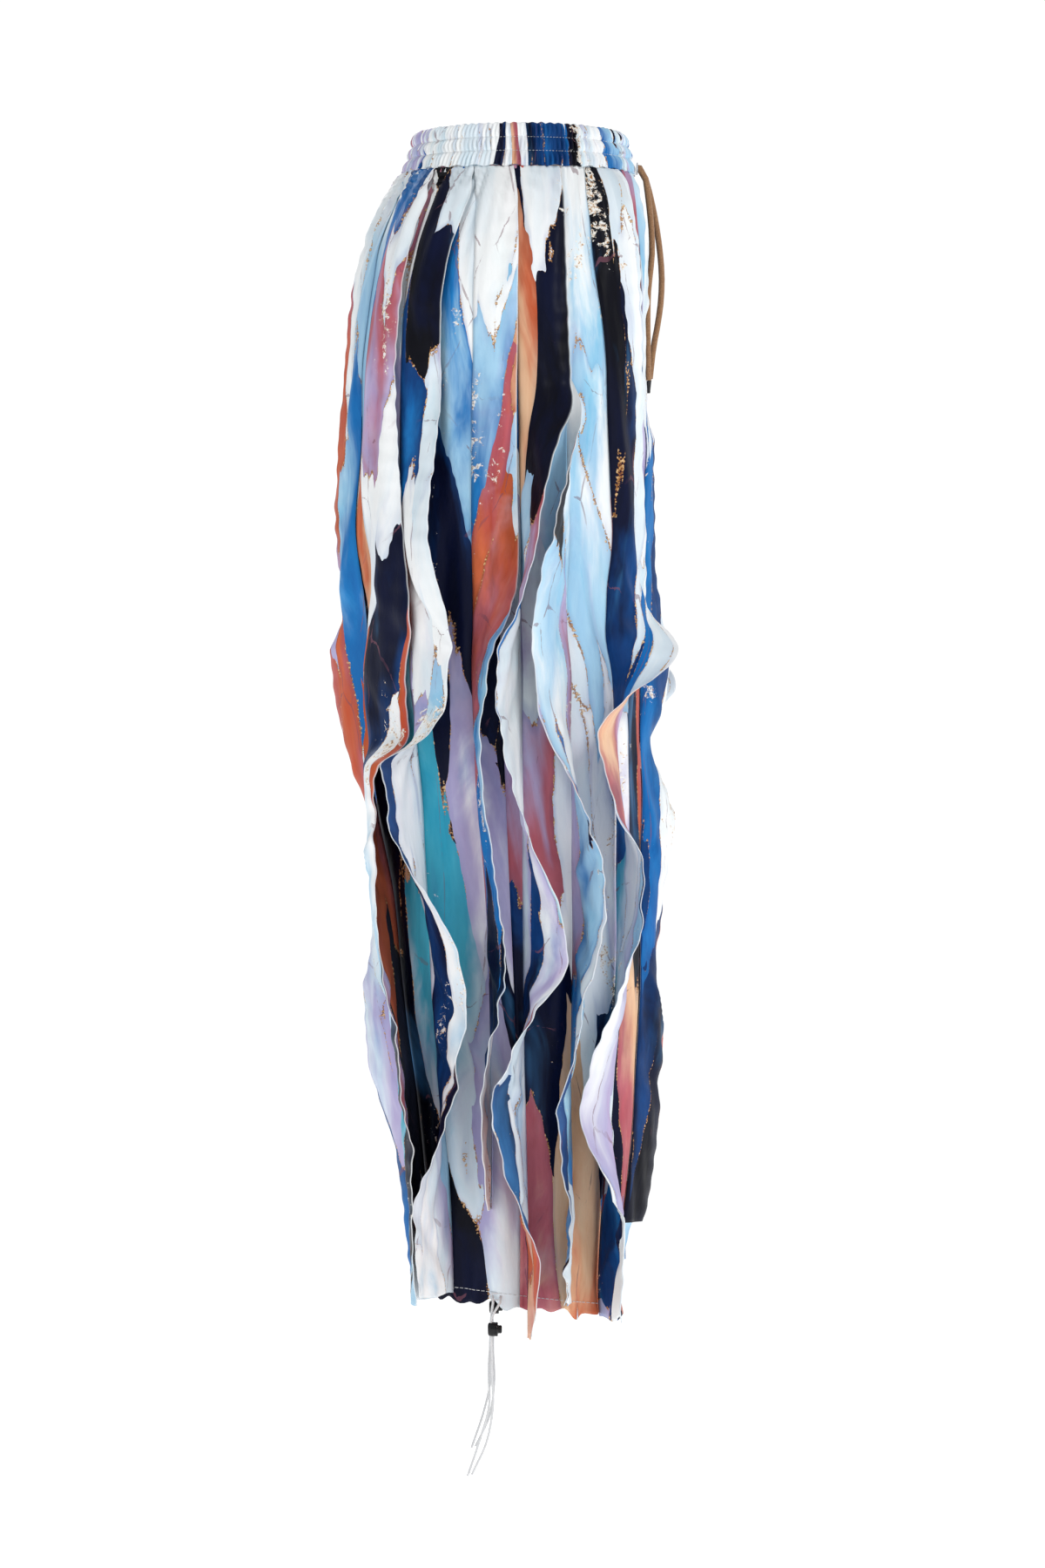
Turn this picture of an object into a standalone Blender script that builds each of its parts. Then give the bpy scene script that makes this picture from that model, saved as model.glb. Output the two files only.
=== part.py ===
"""Harem pants with waving sewn-on strips: CAD solids, in metres, +Z up.

The wearer faces -Y and the wearer's right is -X. The origin is the middle of
the waist opening at the top edge of the waistband. All cloth is worked out
from one body form (a table of sections) and from tables of where each strip
is sewn and how far it leans to the side at each height.
"""
import math

import bmesh
import bpy
import numpy as np

for _old in list(bpy.data.objects):
    bpy.data.objects.remove(_old, do_unlink=True)

# ------------------------------------------------------------------ sizes
WALL = 0.0012          # leg panel cloth with its folds
STRIP = 0.0010         # sewn-on strip, its rolled edge included
BAND = 0.0024          # waistband: two layers and the elastic
GAP = 0.0003           # between sewn pieces
LIFT = 0.0011          # strip's middle above the panel at its seam
Z_WAIST = -0.0378      # waist seam, just under the band
Z_HEM = -1.0185        # hem at the side seam
TILT = 0.020           # how much lower the hem hangs in front than behind
POWER = 2.25           # roundness of a section, 2 is an ellipse
COLUMNS = 9            # facets across one leg panel
BEND = 16.0            # degrees a strip bends over its own width

# height, front, back, leg centre, leg half width
BODY = np.array([
    [0.004, -0.0885, 0.0895, 0.0000, 0.1270],
    [-0.037, -0.0985, 0.0985, 0.0000, 0.1370],
    [-0.055, -0.1010, 0.1110, 0.0130, 0.1380],
    [-0.080, -0.1035, 0.1210, 0.0240, 0.1410],
    [-0.115, -0.1055, 0.1310, 0.0370, 0.1440],
    [-0.160, -0.1065, 0.1390, 0.0500, 0.1430],
    [-0.225, -0.1075, 0.1450, 0.0640, 0.1370],
    [-0.320, -0.1075, 0.1460, 0.0810, 0.1220],
    [-0.400, -0.1070, 0.1420, 0.0940, 0.1100],
    [-0.450, -0.1055, 0.1390, 0.1000, 0.1020],
    [-0.470, -0.1045, 0.1370, 0.1015, 0.1000],
    [-0.536, -0.1020, 0.1300, 0.1040, 0.0960],
    [-0.620, -0.1020, 0.1230, 0.1060, 0.0920],
    [-0.700, -0.1030, 0.1170, 0.1070, 0.0885],
    [-0.790, -0.0990, 0.1060, 0.1080, 0.0850],
    [-0.870, -0.0940, 0.0950, 0.1080, 0.0815],
    [-0.940, -0.0890, 0.0880, 0.1080, 0.0785],
    [-1.015, -0.0850, 0.0850, 0.1080, 0.0765],
    [-1.060, -0.0850, 0.0850, 0.1080, 0.0765],
])

# where each strip is sewn: 0 front centre or inseam, 1 side seam, 2 back
# centre or inseam
SEAM_COLUMNS = ("height", "1", "2", "3", "4", "5", "6", "7", "8", "9", "10")
SEAM = np.array([
    [-0.0374, .120, .265, .693, .828, 1.039, 1.205, 1.423, 1.640, 1.700, 1.75],
    [-0.0695, .160, .275, .681, .812, 0.996, 1.142, 1.360, 1.570, 1.630, 1.75],
    [-0.1218, .200, .300, .665, .801, 0.966, 1.103, 1.358, 1.535, 1.595, 1.75],
    [-0.2189, .220, .340, .628, .784, 0.939, 1.078, 1.331, 1.500, 1.550, 1.75],
    [-0.3384, .240, .410, .631, .785, 0.932, 1.077, 1.305, 1.465, 1.510, 1.75],
    [-0.4579, .270, .500, .699, .825, 0.946, 1.071, 1.237, 1.410, 1.465, 1.74],
    [-0.5700, .280, .500, .692, .829, 0.956, 1.073, 1.222, 1.415, 1.480, 1.73],
    [-0.6745, .280, .510, .696, .836, 0.967, 1.065, 1.224, 1.362, 1.420, 1.72],
    [-0.8464, .290, .550, .689, .840, 0.979, 1.080, 1.231, 1.334, 1.377, 1.71],
    [-1.0185, .290, .580, .711, .845, 0.974, 1.101, 1.227, 1.333, 1.377, 1.71],
])

# lean of each strip from straight out, in degrees, + towards the front
LEAN = np.array([
    # height    1   2    3    4    5    6    7    8    9   10
    [-0.0374,  84, 86,  74,  60,  83,  74,  83,  83, -86, -84],
    [-0.0695,  84, 86,  74,  60,  83,  74,  83,  83, -86, -84],
    [-0.1068,  84, 86,  74,  60,  83,  78,  83,  83, -82, -84],
    [-0.1591,  84, 86,  76,  50,  83,  82,  83,  83, -82, -84],
    [-0.2189,  84, 86,  83,  55,  80,  82,  83,  83, -77, -84],
    [-0.2786,  84, 86,  83,  -8,  30,  82,  66,  82, -70, -84],
    [-0.3384,  83, 85,  83, -28,  12,  82,  50,  76, -70, -83],
    [-0.3832,  82, 82,  83, -38,   5,  70,  44,  72, -72, -82],
    [-0.4235,  80, 73,  72, -43,  -7,  48,  47,  70, -81, -80],
    [-0.4579,  76, 52,  22, -49, -23,  25,  53,  79, -58, -76],
    [-0.4953,  74, 52, -26, -48, -25,  17,  49,  83, -56, -74],
    [-0.5289,  79, 70, -46, -35, -19,  11,  30,  81, -58, -78],
    [-0.5588,  82, 55, -40, -19, -13,  11,  -2,  50, -64, -82],
    [-0.5961,  78, 41, -31,  -3,  -4,  12,  -1,  47, -79, -79],
    [-0.6335,  74, 48, -14,   9,   9,  16,   6,  38, -80, -74],
    [-0.6745,  72, 59, -12,  12,  26,  18,  23,  30, -81, -72],
    [-0.7194,  76, 68, -23,   4,  33,  22,  39,  27, -71, -75],
    [-0.7567,  80, 59, -33,  -4,  14,  18,  43,  26, -60, -80],
    [-0.8015,  78, 53, -49, -13, -13,   5,  34,  27, -56, -78],
    [-0.8464,  74, 54, -58, -23, -28,  -3,  26,  26, -63, -74],
    [-0.8912,  72, 57, -39, -21, -19,  -1,  14,  27, -77, -72],
    [-0.9360,  76, 64, -21, -13,  -6,   4,   1,  26, -85, -76],
    [-0.9808,  80, 74, -18, -13,   7,   8,   0,  25, -84, -80],
    [-1.0185,  82, 84, -17, -15,   6,  12,   2,  25, -85, -82],
], dtype=float)

# strip, width at the waist, width low down, first and last row, tail
STRIPS = [
    (1, 0.040, 0.044, 12, 22, 0.000),
    (2, 0.030, 0.052, 0, 21, 0.004),
    (3, 0.050, 0.054, 0, 23, 0.002),
    (4, 0.046, 0.048, 4, 23, -0.008),
    (5, 0.044, 0.052, 0, 23, 0.026),
    (6, 0.038, 0.042, 0, 21, 0.000),
    (7, 0.044, 0.055, 0, 23, -0.004),
    (8, 0.046, 0.066, 0, 23, 0.003),
    (9, 0.042, 0.048, 0, 23, -0.003),
    (10, 0.040, 0.044, 13, 22, 0.000),
]

collection = bpy.data.collections.new("harem_pants")
bpy.context.scene.collection.children.link(collection)


# ------------------------------------------------------------------ helpers
def ease(table, column, z):
    """Smooth value of one column of a table of falling heights, at z."""
    rows = table[::-1]
    x, y = rows[:, 0], rows[:, column]
    step = np.diff(y) / np.diff(x)
    slope = np.empty_like(y)
    slope[0], slope[-1] = step[0], step[-1]
    for i in range(1, len(y) - 1):
        a, b = step[i - 1], step[i]
        slope[i] = 2 * a * b / (a + b) if a * b > 0 else 0.0
    z = min(max(z, x[0]), x[-1])
    i = int(min(max(np.searchsorted(x, z, side="right") - 1, 0), len(x) - 2))
    h = x[i + 1] - x[i]
    s = (z - x[i]) / h
    return float((2 * s**3 - 3 * s**2 + 1) * y[i] + (s**3 - 2 * s**2 + s) * h * slope[i]
                 + (3 * s**2 - 2 * s**3) * y[i + 1] + (s**3 - s**2) * h * slope[i + 1])


_half_cache = {}


def half_section(z):
    """Right leg's section at z: share of length, x, y below the front line."""
    key = round(z, 6)
    if key not in _half_cache:
        front, back, centre, half = (ease(BODY, k, z) for k in (1, 2, 3, 4))
        start = math.acos((centre / half) ** (POWER / 2)) if centre < half else 0.0
        turn = start + (math.pi - start) * np.linspace(0, 1, 241)
        cos, sin = np.cos(turn), np.clip(np.sin(turn), 0, 1)
        x = -centre + half * np.sign(cos) * np.abs(cos) ** (2 / POWER)
        y = (back - front) / 2 * sin ** (2 / POWER)
        run = np.concatenate([[0], np.cumsum(np.hypot(np.diff(x), np.diff(y)))])
        _half_cache[key] = (run / run[-1], x, y, (front + back) / 2, run[-1])
    return _half_cache[key]


def spot(a, z):
    """Point of the right leg's outside at a (0..2) and height z, with its
    outward normal and the length of the half section."""
    share, x, y, middle, length = half_section(z)

    def at(value):
        value = min(max(value, 0.0), 2.0)
        t = value if value <= 1 else 2 - value
        px, py = np.interp(t, share, x), np.interp(t, share, y)
        return np.array([px, middle - py if value <= 1 else middle + py])

    here = at(a)
    run = at(a + 0.012) - at(a - 0.012)
    normal = np.array([run[1], -run[0]])
    out = here - np.array([-ease(BODY, 3, z), middle])
    if normal @ out < 0:
        normal = -normal
    return here, normal / np.linalg.norm(normal), length


def height(a, v):
    """Height of row v (0 waist seam, 1 hem) at a: lower in front."""
    t = a if a <= 1 else 2 - a
    share = math.sin(math.pi * t) * (0.5 if a <= 1 else -0.5)
    return Z_WAIST + v * (Z_HEM - Z_WAIST) - share * TILT * v * v


ROWS = [min(max((z - Z_WAIST) / (Z_HEM - Z_WAIST), 0.0), 1.0) for z in LEAN[:, 0]]


def material(name, colour, rough=0.6, metal=0.0):
    made = bpy.data.materials.get(name) or bpy.data.materials.new(name)
    made.use_nodes = True
    shader = made.node_tree.nodes["Principled BSDF"]
    shader.inputs["Base Color"].default_value = (*colour, 1)
    shader.inputs["Roughness"].default_value = rough
    shader.inputs["Metallic"].default_value = metal
    return made


def add_mesh(name, points, faces, mat):
    mesh = bpy.data.meshes.new(name)
    mesh.from_pydata([tuple(map(float, p)) for p in points], [], faces)
    work = bmesh.new()
    work.from_mesh(mesh)
    bmesh.ops.recalc_face_normals(work, faces=work.faces)
    if work.calc_volume(signed=True) < 0:
        bmesh.ops.reverse_faces(work, faces=work.faces)
    work.to_mesh(mesh)
    work.free()
    mesh.materials.append(mat)
    made = bpy.data.objects.new(name, mesh)
    collection.objects.link(made)
    return made


def sheet_solid(name, outer, inner, mat):
    """Closed solid between two grids of points, rows by columns."""
    rows, cols = outer.shape[:2]
    points = np.concatenate([outer.reshape(-1, 3), inner.reshape(-1, 3)])
    n = rows * cols

    def at(r, c, side):
        return side * n + r * cols + c

    faces = []
    for r in range(rows - 1):
        for c in range(cols - 1):
            faces.append((at(r, c, 0), at(r, c + 1, 0), at(r + 1, c + 1, 0), at(r + 1, c, 0)))
            faces.append((at(r, c, 1), at(r + 1, c, 1), at(r + 1, c + 1, 1), at(r, c + 1, 1)))
    for r in range(rows - 1):
        faces.append((at(r, 0, 0), at(r + 1, 0, 0), at(r + 1, 0, 1), at(r, 0, 1)))
        faces.append((at(r, cols - 1, 0), at(r, cols - 1, 1), at(r + 1, cols - 1, 1), at(r + 1, cols - 1, 0)))
    for c in range(cols - 1):
        faces.append((at(0, c, 0), at(0, c, 1), at(0, c + 1, 1), at(0, c + 1, 0)))
        faces.append((at(rows - 1, c, 0), at(rows - 1, c + 1, 0), at(rows - 1, c + 1, 1), at(rows - 1, c, 1)))
    return add_mesh(name, points, faces, mat)


def mirrored(points, side):
    """side -1 is the wearer's right, as made; +1 the left."""
    out = np.array(points, float)
    if side > 0:
        out[..., 0] *= -1
    return out


# ------------------------------------------------------------------ panels
def panel_points(a_from, a_to):
    """Outside and inside points of one panel, a row for each height."""
    outer, inner = [], []
    for v in ROWS:
        row_out, row_in = [], []
        for k in range(COLUMNS + 1):
            a = a_from + (a_to - a_from) * k / COLUMNS
            z = height(a, v)
            here, normal, length = spot(a, z)
            if k in (0, COLUMNS):      # half the seam gap at each long edge
                a += (GAP / 2 / length) * (1 if k == 0 else -1) * (1 if a_to > a_from else -1)
                here, normal, _ = spot(a, z)
            here = here - np.array([GAP / 2, 0])
            row_out.append((*here, z))
            row_in.append((*(here - normal * WALL), z))
        outer.append(row_out)
        inner.append(row_in)
    return np.array(outer), np.array(inner)


PANELS = {"front": panel_points(0.0, 1.0), "back": panel_points(1.0, 2.0)}


def on_panel(a, row):
    """The faceted panel's own outside point at a, in one row."""
    half = "front" if a <= 1 else "back"
    line = PANELS[half][0][row]
    f = min(max((a if a <= 1 else a - 1) * COLUMNS, 0), COLUMNS - 1e-9)
    k = int(f)
    return line[k] * (1 - (f - k)) + line[k + 1] * (f - k)


# ------------------------------------------------------------------ strips
def lean_of(number, row, side):
    """Lean in one row; the left leg's strips wave 30 mm lower and less."""
    z = LEAN[row, 0]
    value = LEAN[row, number]
    if side > 0:
        if number == 2:
            value = min(value + 12, 86)
        elif number == 9:
            value = max(value - 10, -86)
        elif number in (1, 10):
            value = LEAN[max(row - 2, 0), number]
        else:
            value = ease(LEAN, number, z + 0.030)
            value = value * 0.92 if row > 8 else value
    return max(min(value, 84), -81)


def across(seam, z, lean, width, count):
    """Points across one strip: distances along and out from the panel, which
    bends most, and so keeps the strip off it most, at the crotch."""
    rise = LIFT + 0.0016 * math.exp(-((z + 0.425) / 0.035) ** 2)
    sign = 1 if lean >= 0 else -1
    swing = sign * BEND * abs(math.sin(math.radians(lean)))
    along, out, turns = [0.0], [rise], []
    for i in range(count):
        turn = math.radians(max(min(lean + swing * ((i + 0.5) / count - 0.5), 88), -88))
        along.append(along[-1] + math.sin(turn) * width / count)
        out.append(out[-1] + math.cos(turn) * width / count)
        turns.append(turn)
    at_point = [turns[0]] + [(turns[i] + turns[i + 1]) / 2 for i in range(count - 1)] + [turns[-1]]
    return along, out, at_point


def strip_points(number, side, top_width, low_width, first, last, tail):
    one, two = [], []
    for row in range(first, last + 1):
        z_row = LEAN[row, 0]
        seam = ease(SEAM, number, z_row)
        v = ROWS[row]
        z = height(seam, v)
        width = float(np.interp(-z_row, [0.219, 0.424], [top_width, low_width]))
        if first > 0:          # a strip that starts low tapers in at its top
            width *= (0.30, 0.62, 0.88, 1.0)[min(row - first, 3)]
        lean = lean_of(number, row, side)
        along, out, turns = across(seam, z, lean, width, 2)
        root = on_panel(seam, row)
        base, normal, length = spot(seam, z)
        row_one, row_two = [], []
        for s, h, turn in zip(along, out, turns):
            if s == 0.0:
                point = np.array(root[:2]) + normal * h
                n_here = normal
            else:
                here, n_here, _ = spot(seam - s / length, z)
                point = here + n_here * h
            t_here = np.array([n_here[1], -n_here[0]])
            if t_here @ (spot(seam - 0.02, z)[0] - base) < 0:
                t_here = -t_here
            face = t_here * math.cos(turn) - n_here * math.sin(turn)
            low = 0.0
            if row == last:
                low = tail
            zz = root[2] - low
            row_one.append((*(point + face * STRIP / 2), zz))
            row_two.append((*(point - face * STRIP / 2), zz))
        one.append(row_one)
        two.append(row_two)
    return mirrored(one, side), mirrored(two, side)


# ------------------------------------------------------------------ cloth
PRINT = material("print", (0.35, 0.47, 0.62), 0.5)
PRINT_STRIP = material("print_strip", (0.62, 0.36, 0.32), 0.5)
BAND_MAT = material("print_band", (0.70, 0.78, 0.86), 0.5)
TAN = material("drawstring", (0.60, 0.43, 0.27), 0.8)
TIP = material("tip_black", (0.02, 0.02, 0.022), 0.3)
WHITE = material("hem_cord", (0.86, 0.87, 0.88), 0.6)
LOCK = material("lock_black", (0.015, 0.015, 0.018), 0.2)
THREAD = material("thread", (0.80, 0.80, 0.82), 0.7)

SIDES = {"R": -1, "L": 1}
for letter, side in SIDES.items():
    for half, (outer, inner) in PANELS.items():
        sheet_solid(f"leg_{half}_{letter}", mirrored(outer, side), mirrored(inner, side), PRINT)
    for number, top_width, low_width, first, last, tail in STRIPS:
        if number == 2 and side > 0:       # the left leg's hangs 45 mm lower
            last, tail = 22, 0.0
        one, two = strip_points(number, side, top_width, low_width, first, last, tail)
        sheet_solid(f"strip_{number:02d}_{letter}", one, two, PRINT_STRIP)

# waistband: outer profile (height, out) with three shirred tunnels
TUNNELS = [(-0.0372, 0.0010), (-0.0330, 0.0022), (-0.0285, 0.0020), (-0.0244, 0.0004),
           (-0.0205, 0.0018), (-0.0165, 0.0018), (-0.0124, 0.0004),
           (-0.0085, 0.0017), (-0.0040, 0.0015), (0.0000, 0.0004)]
AROUND = 40


def band_ring(z, out, flute):
    ring = []
    for k in range(AROUND):
        share = 4 * k / AROUND               # 0..4: right front, right back, left back, left front
        side = -1 if share < 2 else 1
        a = share if share < 2 else 4 - share
        here, normal, _ = spot(a, z)
        wave = flute if k % 2 else -flute
        here = here + normal * (out + wave)
        droop = 0.004 * (here[1] / 0.0985) ** 2 * (1 + z / 0.04)
        x = here[0] if side < 0 else -here[0]
        if k % (AROUND // 2) == 0:
            x = 0.0
        ring.append((x, here[1], z - droop))
    return ring


rings = [band_ring(z, out, 0.0005) for z, out in TUNNELS]
rings += [band_ring(z, out - BAND - 0.0006, 0.0) for z, out in
          ((0.0000, 0.0004), (-0.0186, 0.0010), (-0.0372, 0.0010))]
points = [p for ring in rings for p in ring]
faces = []
for i in range(len(rings)):
    j = (i + 1) % len(rings)
    for k in range(AROUND):
        m = (k + 1) % AROUND
        faces.append((i * AROUND + k, i * AROUND + m, j * AROUND + m, j * AROUND + k))
add_mesh("waistband", points, faces, BAND_MAT)


# ------------------------------------------------------------------ cords
def smooth_path(knots, step, lead):
    """Straight out for the first `lead` knots, then even points of a smooth
    curve through the rest."""
    first, knots = np.array(knots[:lead], float), np.array(knots[lead:], float)
    ends = np.vstack([2 * knots[0] - knots[1], knots, 2 * knots[-1] - knots[-2]])
    fine = []
    for i in range(1, len(ends) - 2):
        p0, p1, p2, p3 = ends[i - 1:i + 3]
        for t in np.linspace(0, 1, 24, endpoint=False):
            fine.append(0.5 * ((2 * p1) + (p2 - p0) * t + (2 * p0 - 5 * p1 + 4 * p2 - p3) * t**2
                               + (3 * p1 - p0 - 3 * p2 + p3) * t**3))
    fine.append(knots[-1])
    fine = np.array(fine)
    run = np.concatenate([[0], np.cumsum(np.linalg.norm(np.diff(fine, axis=0), axis=1))])
    count = max(int(round(run[-1] / step)), 3)
    want = np.linspace(0, run[-1], count + 1)
    return np.vstack([first, np.column_stack([np.interp(want, run, fine[:, k]) for k in range(3)])])


def cord(name, knots, diameter, mat, step):
    path = smooth_path(knots, step, 1)
    data = bpy.data.curves.new(name, "CURVE")
    data.dimensions = "3D"
    data.bevel_depth = diameter / 2
    data.bevel_resolution = 2
    data.use_fill_caps = True
    spline = data.splines.new("POLY")
    spline.points.add(len(path) - 1)
    for point, at in zip(spline.points, path):
        point.co = (*at, 1)
    data.materials.append(mat)
    made = bpy.data.objects.new(name, data)
    collection.objects.link(made)
    return path


def turned(name, profile, at, axis, mat, sides=16):
    """Solid turned about a line through `at`: profile of (along, radius)."""
    axis = np.array(axis, float) / np.linalg.norm(axis)
    other = np.cross(axis, (1, 0, 0) if abs(axis[0]) < 0.9 else (0, 1, 0))
    other /= np.linalg.norm(other)
    third = np.cross(axis, other)
    points, faces = [], []
    for along, radius in profile:
        for k in range(sides):
            t = 2 * math.pi * k / sides
            points.append(np.array(at) + axis * along + radius * (other * math.cos(t) + third * math.sin(t)))
    n = len(profile)
    for i in range(n - 1):
        for k in range(sides):
            m = (k + 1) % sides
            faces.append((i * sides + k, i * sides + m, (i + 1) * sides + m, (i + 1) * sides + k))
    faces.append(tuple(range(sides))[::-1])
    faces.append(tuple((n - 1) * sides + k for k in range(sides)))
    return add_mesh(name, points, faces, mat)


def loop_ring(name, at, out_dir, up_dir, hole, rim, thick, mat, sides=20):
    """Flat oval ring: hole and rim are (half width, half height)."""
    out_dir = np.array(out_dir, float) / np.linalg.norm(out_dir)
    up = np.array(up_dir, float)
    up -= out_dir * (up @ out_dir)
    up /= np.linalg.norm(up)
    wide = np.cross(out_dir, up)
    points, faces = [], []
    for size, depth in ((rim, 0), (rim, thick), (hole, thick), (hole, 0)):
        for k in range(sides):
            t = 2 * math.pi * k / sides
            points.append(np.array(at) + out_dir * depth + wide * size[0] * math.cos(t) + up * size[1] * math.sin(t))
    for i in range(4):
        j = (i + 1) % 4
        for k in range(sides):
            m = (k + 1) % sides
            faces.append((i * sides + k, i * sides + m, j * sides + m, j * sides + k))
    return add_mesh(name, points, faces, mat)


# waist drawstring: two free ends out of worked eyelets in the lowest tunnel
DRAW_D, TIP_D, TIP_LEN = 0.0054, 0.0032, 0.0110
EYE_Z, EYE_Y = -0.0322, -0.1010
DRAW_ENDS = {
    "R": [(-0.0140, -0.1022, EYE_Z), (-0.0140, -0.1048, EYE_Z - 0.0002), (-0.0152, -0.1092, -0.0400),
          (-0.0165, -0.1115, -0.0545), (-0.0180, -0.1146, -0.0840), (-0.0190, -0.1152, -0.1076),
          (-0.0200, -0.1136, -0.1240), (-0.0205, -0.1118, -0.1420), (-0.0205, -0.1113, -0.1620),
          (-0.0205, -0.1115, -0.1900), (-0.0205, -0.1120, -0.2180)],
    "L": [(0.0140, -0.1022, EYE_Z), (0.0140, -0.1048, EYE_Z - 0.0002), (0.0128, -0.1098, -0.0400),
          (0.0105, -0.1140, -0.0553), (0.0080, -0.1185, -0.0770), (0.0050, -0.1222, -0.1023),
          (0.0025, -0.1240, -0.1260), (0.0000, -0.1232, -0.1480), (-0.0025, -0.1205, -0.1680),
          (-0.0055, -0.1165, -0.1900), (-0.0080, -0.1135, -0.2160)],
}
for letter, knots in DRAW_ENDS.items():
    path = cord(f"drawstring_{letter}", knots, DRAW_D, TAN, 0.0110)
    way = path[-1] - path[-2]
    way /= np.linalg.norm(way)
    turned(f"drawstring_tip_{letter}", [(0, TIP_D / 2), (TIP_LEN * 0.9, TIP_D / 2), (TIP_LEN, TIP_D * 0.4)],
           path[-1] + way * GAP, way, TIP, 12)
    x = knots[0][0]
    loop_ring(f"eyelet_{letter}", (x, EYE_Y - 0.00075, EYE_Z), (0, -1, 0), (0, 0, 1),
              (0.0034, 0.0034), (0.0045, 0.0045), 0.0012, THREAD)

# hem cords: both ends out of one worked slit, through the lock, and free
HEM_D = 0.0021
SLIT_Y, SLIT_Z = 0.0200, -1.0088
HOLE_Y, LOCK_TOP, LOCK_LOW = 0.0247, -1.0304, -1.0428
LOCK_X = -0.1885
for letter, side in SIDES.items():
    at_slit, out_slit, _ = spot(1.080, SLIT_Z)
    start = np.array([at_slit[0], SLIT_Y])
    skin = at_slit[0] - 0.0011
    for number, (dy, dx) in enumerate(((0.0033, 0.00135), (-0.0033, -0.00135)), 1):
        swing = 0.0 if side < 0 else 0.0015
        lx = LOCK_X + dx
        if number == 1:       # the end that hangs a little further back
            tail = [(lx, 0.0262, -1.0600), (lx, 0.0269, -1.0757), (lx - 0.0006, 0.0264, -1.1026),
                    (lx - 0.0010, 0.0344 - swing, -1.1317), (lx - 0.0008, 0.0448 - swing, -1.1623)]
        else:
            tail = [(lx, 0.0240, -1.0600), (lx, 0.0240, -1.0757), (lx + 0.0004, 0.0230, -1.1026),
                    (lx + 0.0008, 0.0285 - swing, -1.1330), (lx + 0.0008, 0.0411 - swing, -1.1610)]
        knots = [(skin, SLIT_Y + dy, SLIT_Z), (skin - 0.0022, SLIT_Y + dy, SLIT_Z - 0.0003),
                 (skin - 0.0038 + dx * 0.4, SLIT_Y + dy * 0.9, SLIT_Z - 0.0050),
                 (lx, HOLE_Y + (SLIT_Y - HOLE_Y + dy) * 0.35, -1.0220),
                 (lx, HOLE_Y, -1.0290), (lx, HOLE_Y, -1.0360), (lx, HOLE_Y, -1.0440)] + tail
        cord(f"hem_cord_{number}_{letter}", [mirrored(k, side) for k in knots], HEM_D, WHITE, 0.0050)
    loop_ring(f"hem_slit_{letter}", mirrored((at_slit[0] - 0.0006, SLIT_Y, SLIT_Z), side),
              (side, 0, 0), (0, 0, 1), (0.0055, 0.0022), (0.0068, 0.0034), 0.0010, THREAD)

    # cord lock: a barrel across the cords with an upright hole for both
    middle = mirrored((LOCK_X, 0, (LOCK_TOP + LOCK_LOW) / 2), side)
    radius = (LOCK_TOP - LOCK_LOW) / 2
    barrel = turned(f"lock_body_{letter}",
                    [(0.0275, radius * 0.55), (0.0271, radius * 0.80), (0.0262, radius * 0.95), (0.0248, radius),
                     (0.0205, radius), (0.0192, radius * 0.96), (0.0188, radius * 0.90)],
                    middle, (0, 1, 0), LOCK, 24)
    slot = bmesh.new()
    bmesh.ops.create_cone(slot, cap_ends=True, segments=20, radius1=1, radius2=1, depth=0.05)
    for vert in slot.verts:
        vert.co.x = vert.co.x * 0.0028 + float(middle[0])
        vert.co.y = vert.co.y * 0.00170 + HOLE_Y
        vert.co.z = vert.co.z + float(middle[2])
    slot_mesh = bpy.data.meshes.new("slot_cut")
    slot.to_mesh(slot_mesh)
    slot.free()
    bore_mesh = bpy.data.meshes.new("bore_cut")
    bore = bmesh.new()
    bmesh.ops.create_cone(bore, cap_ends=True, segments=20, radius1=0.0040, radius2=0.0040, depth=0.0048)
    for vert in bore.verts:
        vert.co = (vert.co.x + float(middle[0]), vert.co.z + 0.0201, vert.co.y + float(middle[2]))
    bore.normal_update()
    bmesh.ops.reverse_faces(bore, faces=bore.faces)
    bore.to_mesh(bore_mesh)
    bore.free()
    cutters = []
    for tag, cut in (("slot_cut", slot_mesh), ("bore_cut", bore_mesh)):
        cutter = bpy.data.objects.new(tag, cut)
        collection.objects.link(cutter)
        cutters.append(cutter)
        mod = barrel.modifiers.new(tag, "BOOLEAN")
        mod.operation, mod.solver, mod.object = "DIFFERENCE", "EXACT", cutter
    bpy.context.view_layer.update()
    graph = bpy.context.evaluated_depsgraph_get()
    cut_mesh = bpy.data.meshes.new_from_object(barrel.evaluated_get(graph))
    barrel.modifiers.clear()
    barrel.data = cut_mesh
    if not cut_mesh.materials:
        cut_mesh.materials.append(LOCK)
    for cutter in cutters:
        bpy.data.objects.remove(cutter, do_unlink=True)
    turned(f"lock_button_{letter}", [(0.0153, 0.0029), (0.0157, 0.0034), (0.0186, 0.0036), (0.0218, 0.0036)],
           middle, (0, 1, 0), LOCK, 20)

print("nodes", len(collection.objects))
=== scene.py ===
# %% [markdown]
# # Harem pants with waving sewn-on strips
#
# These pants hang from a shirred elastic waistband. Each leg is a wide tube
# of smooth printed cloth, and long strips are sewn to it by one edge. Near
# the waist the strips lie flat over each other, and lower down they stand up
# and wave, with their rolled free edges showing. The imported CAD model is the
# frame: every cloth piece, cord and lock here takes the place of one of its
# solids, and the small trims keep theirs.

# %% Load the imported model
import math

import bmesh
import bpy
import numpy as np
from mathutils import Matrix


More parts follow.
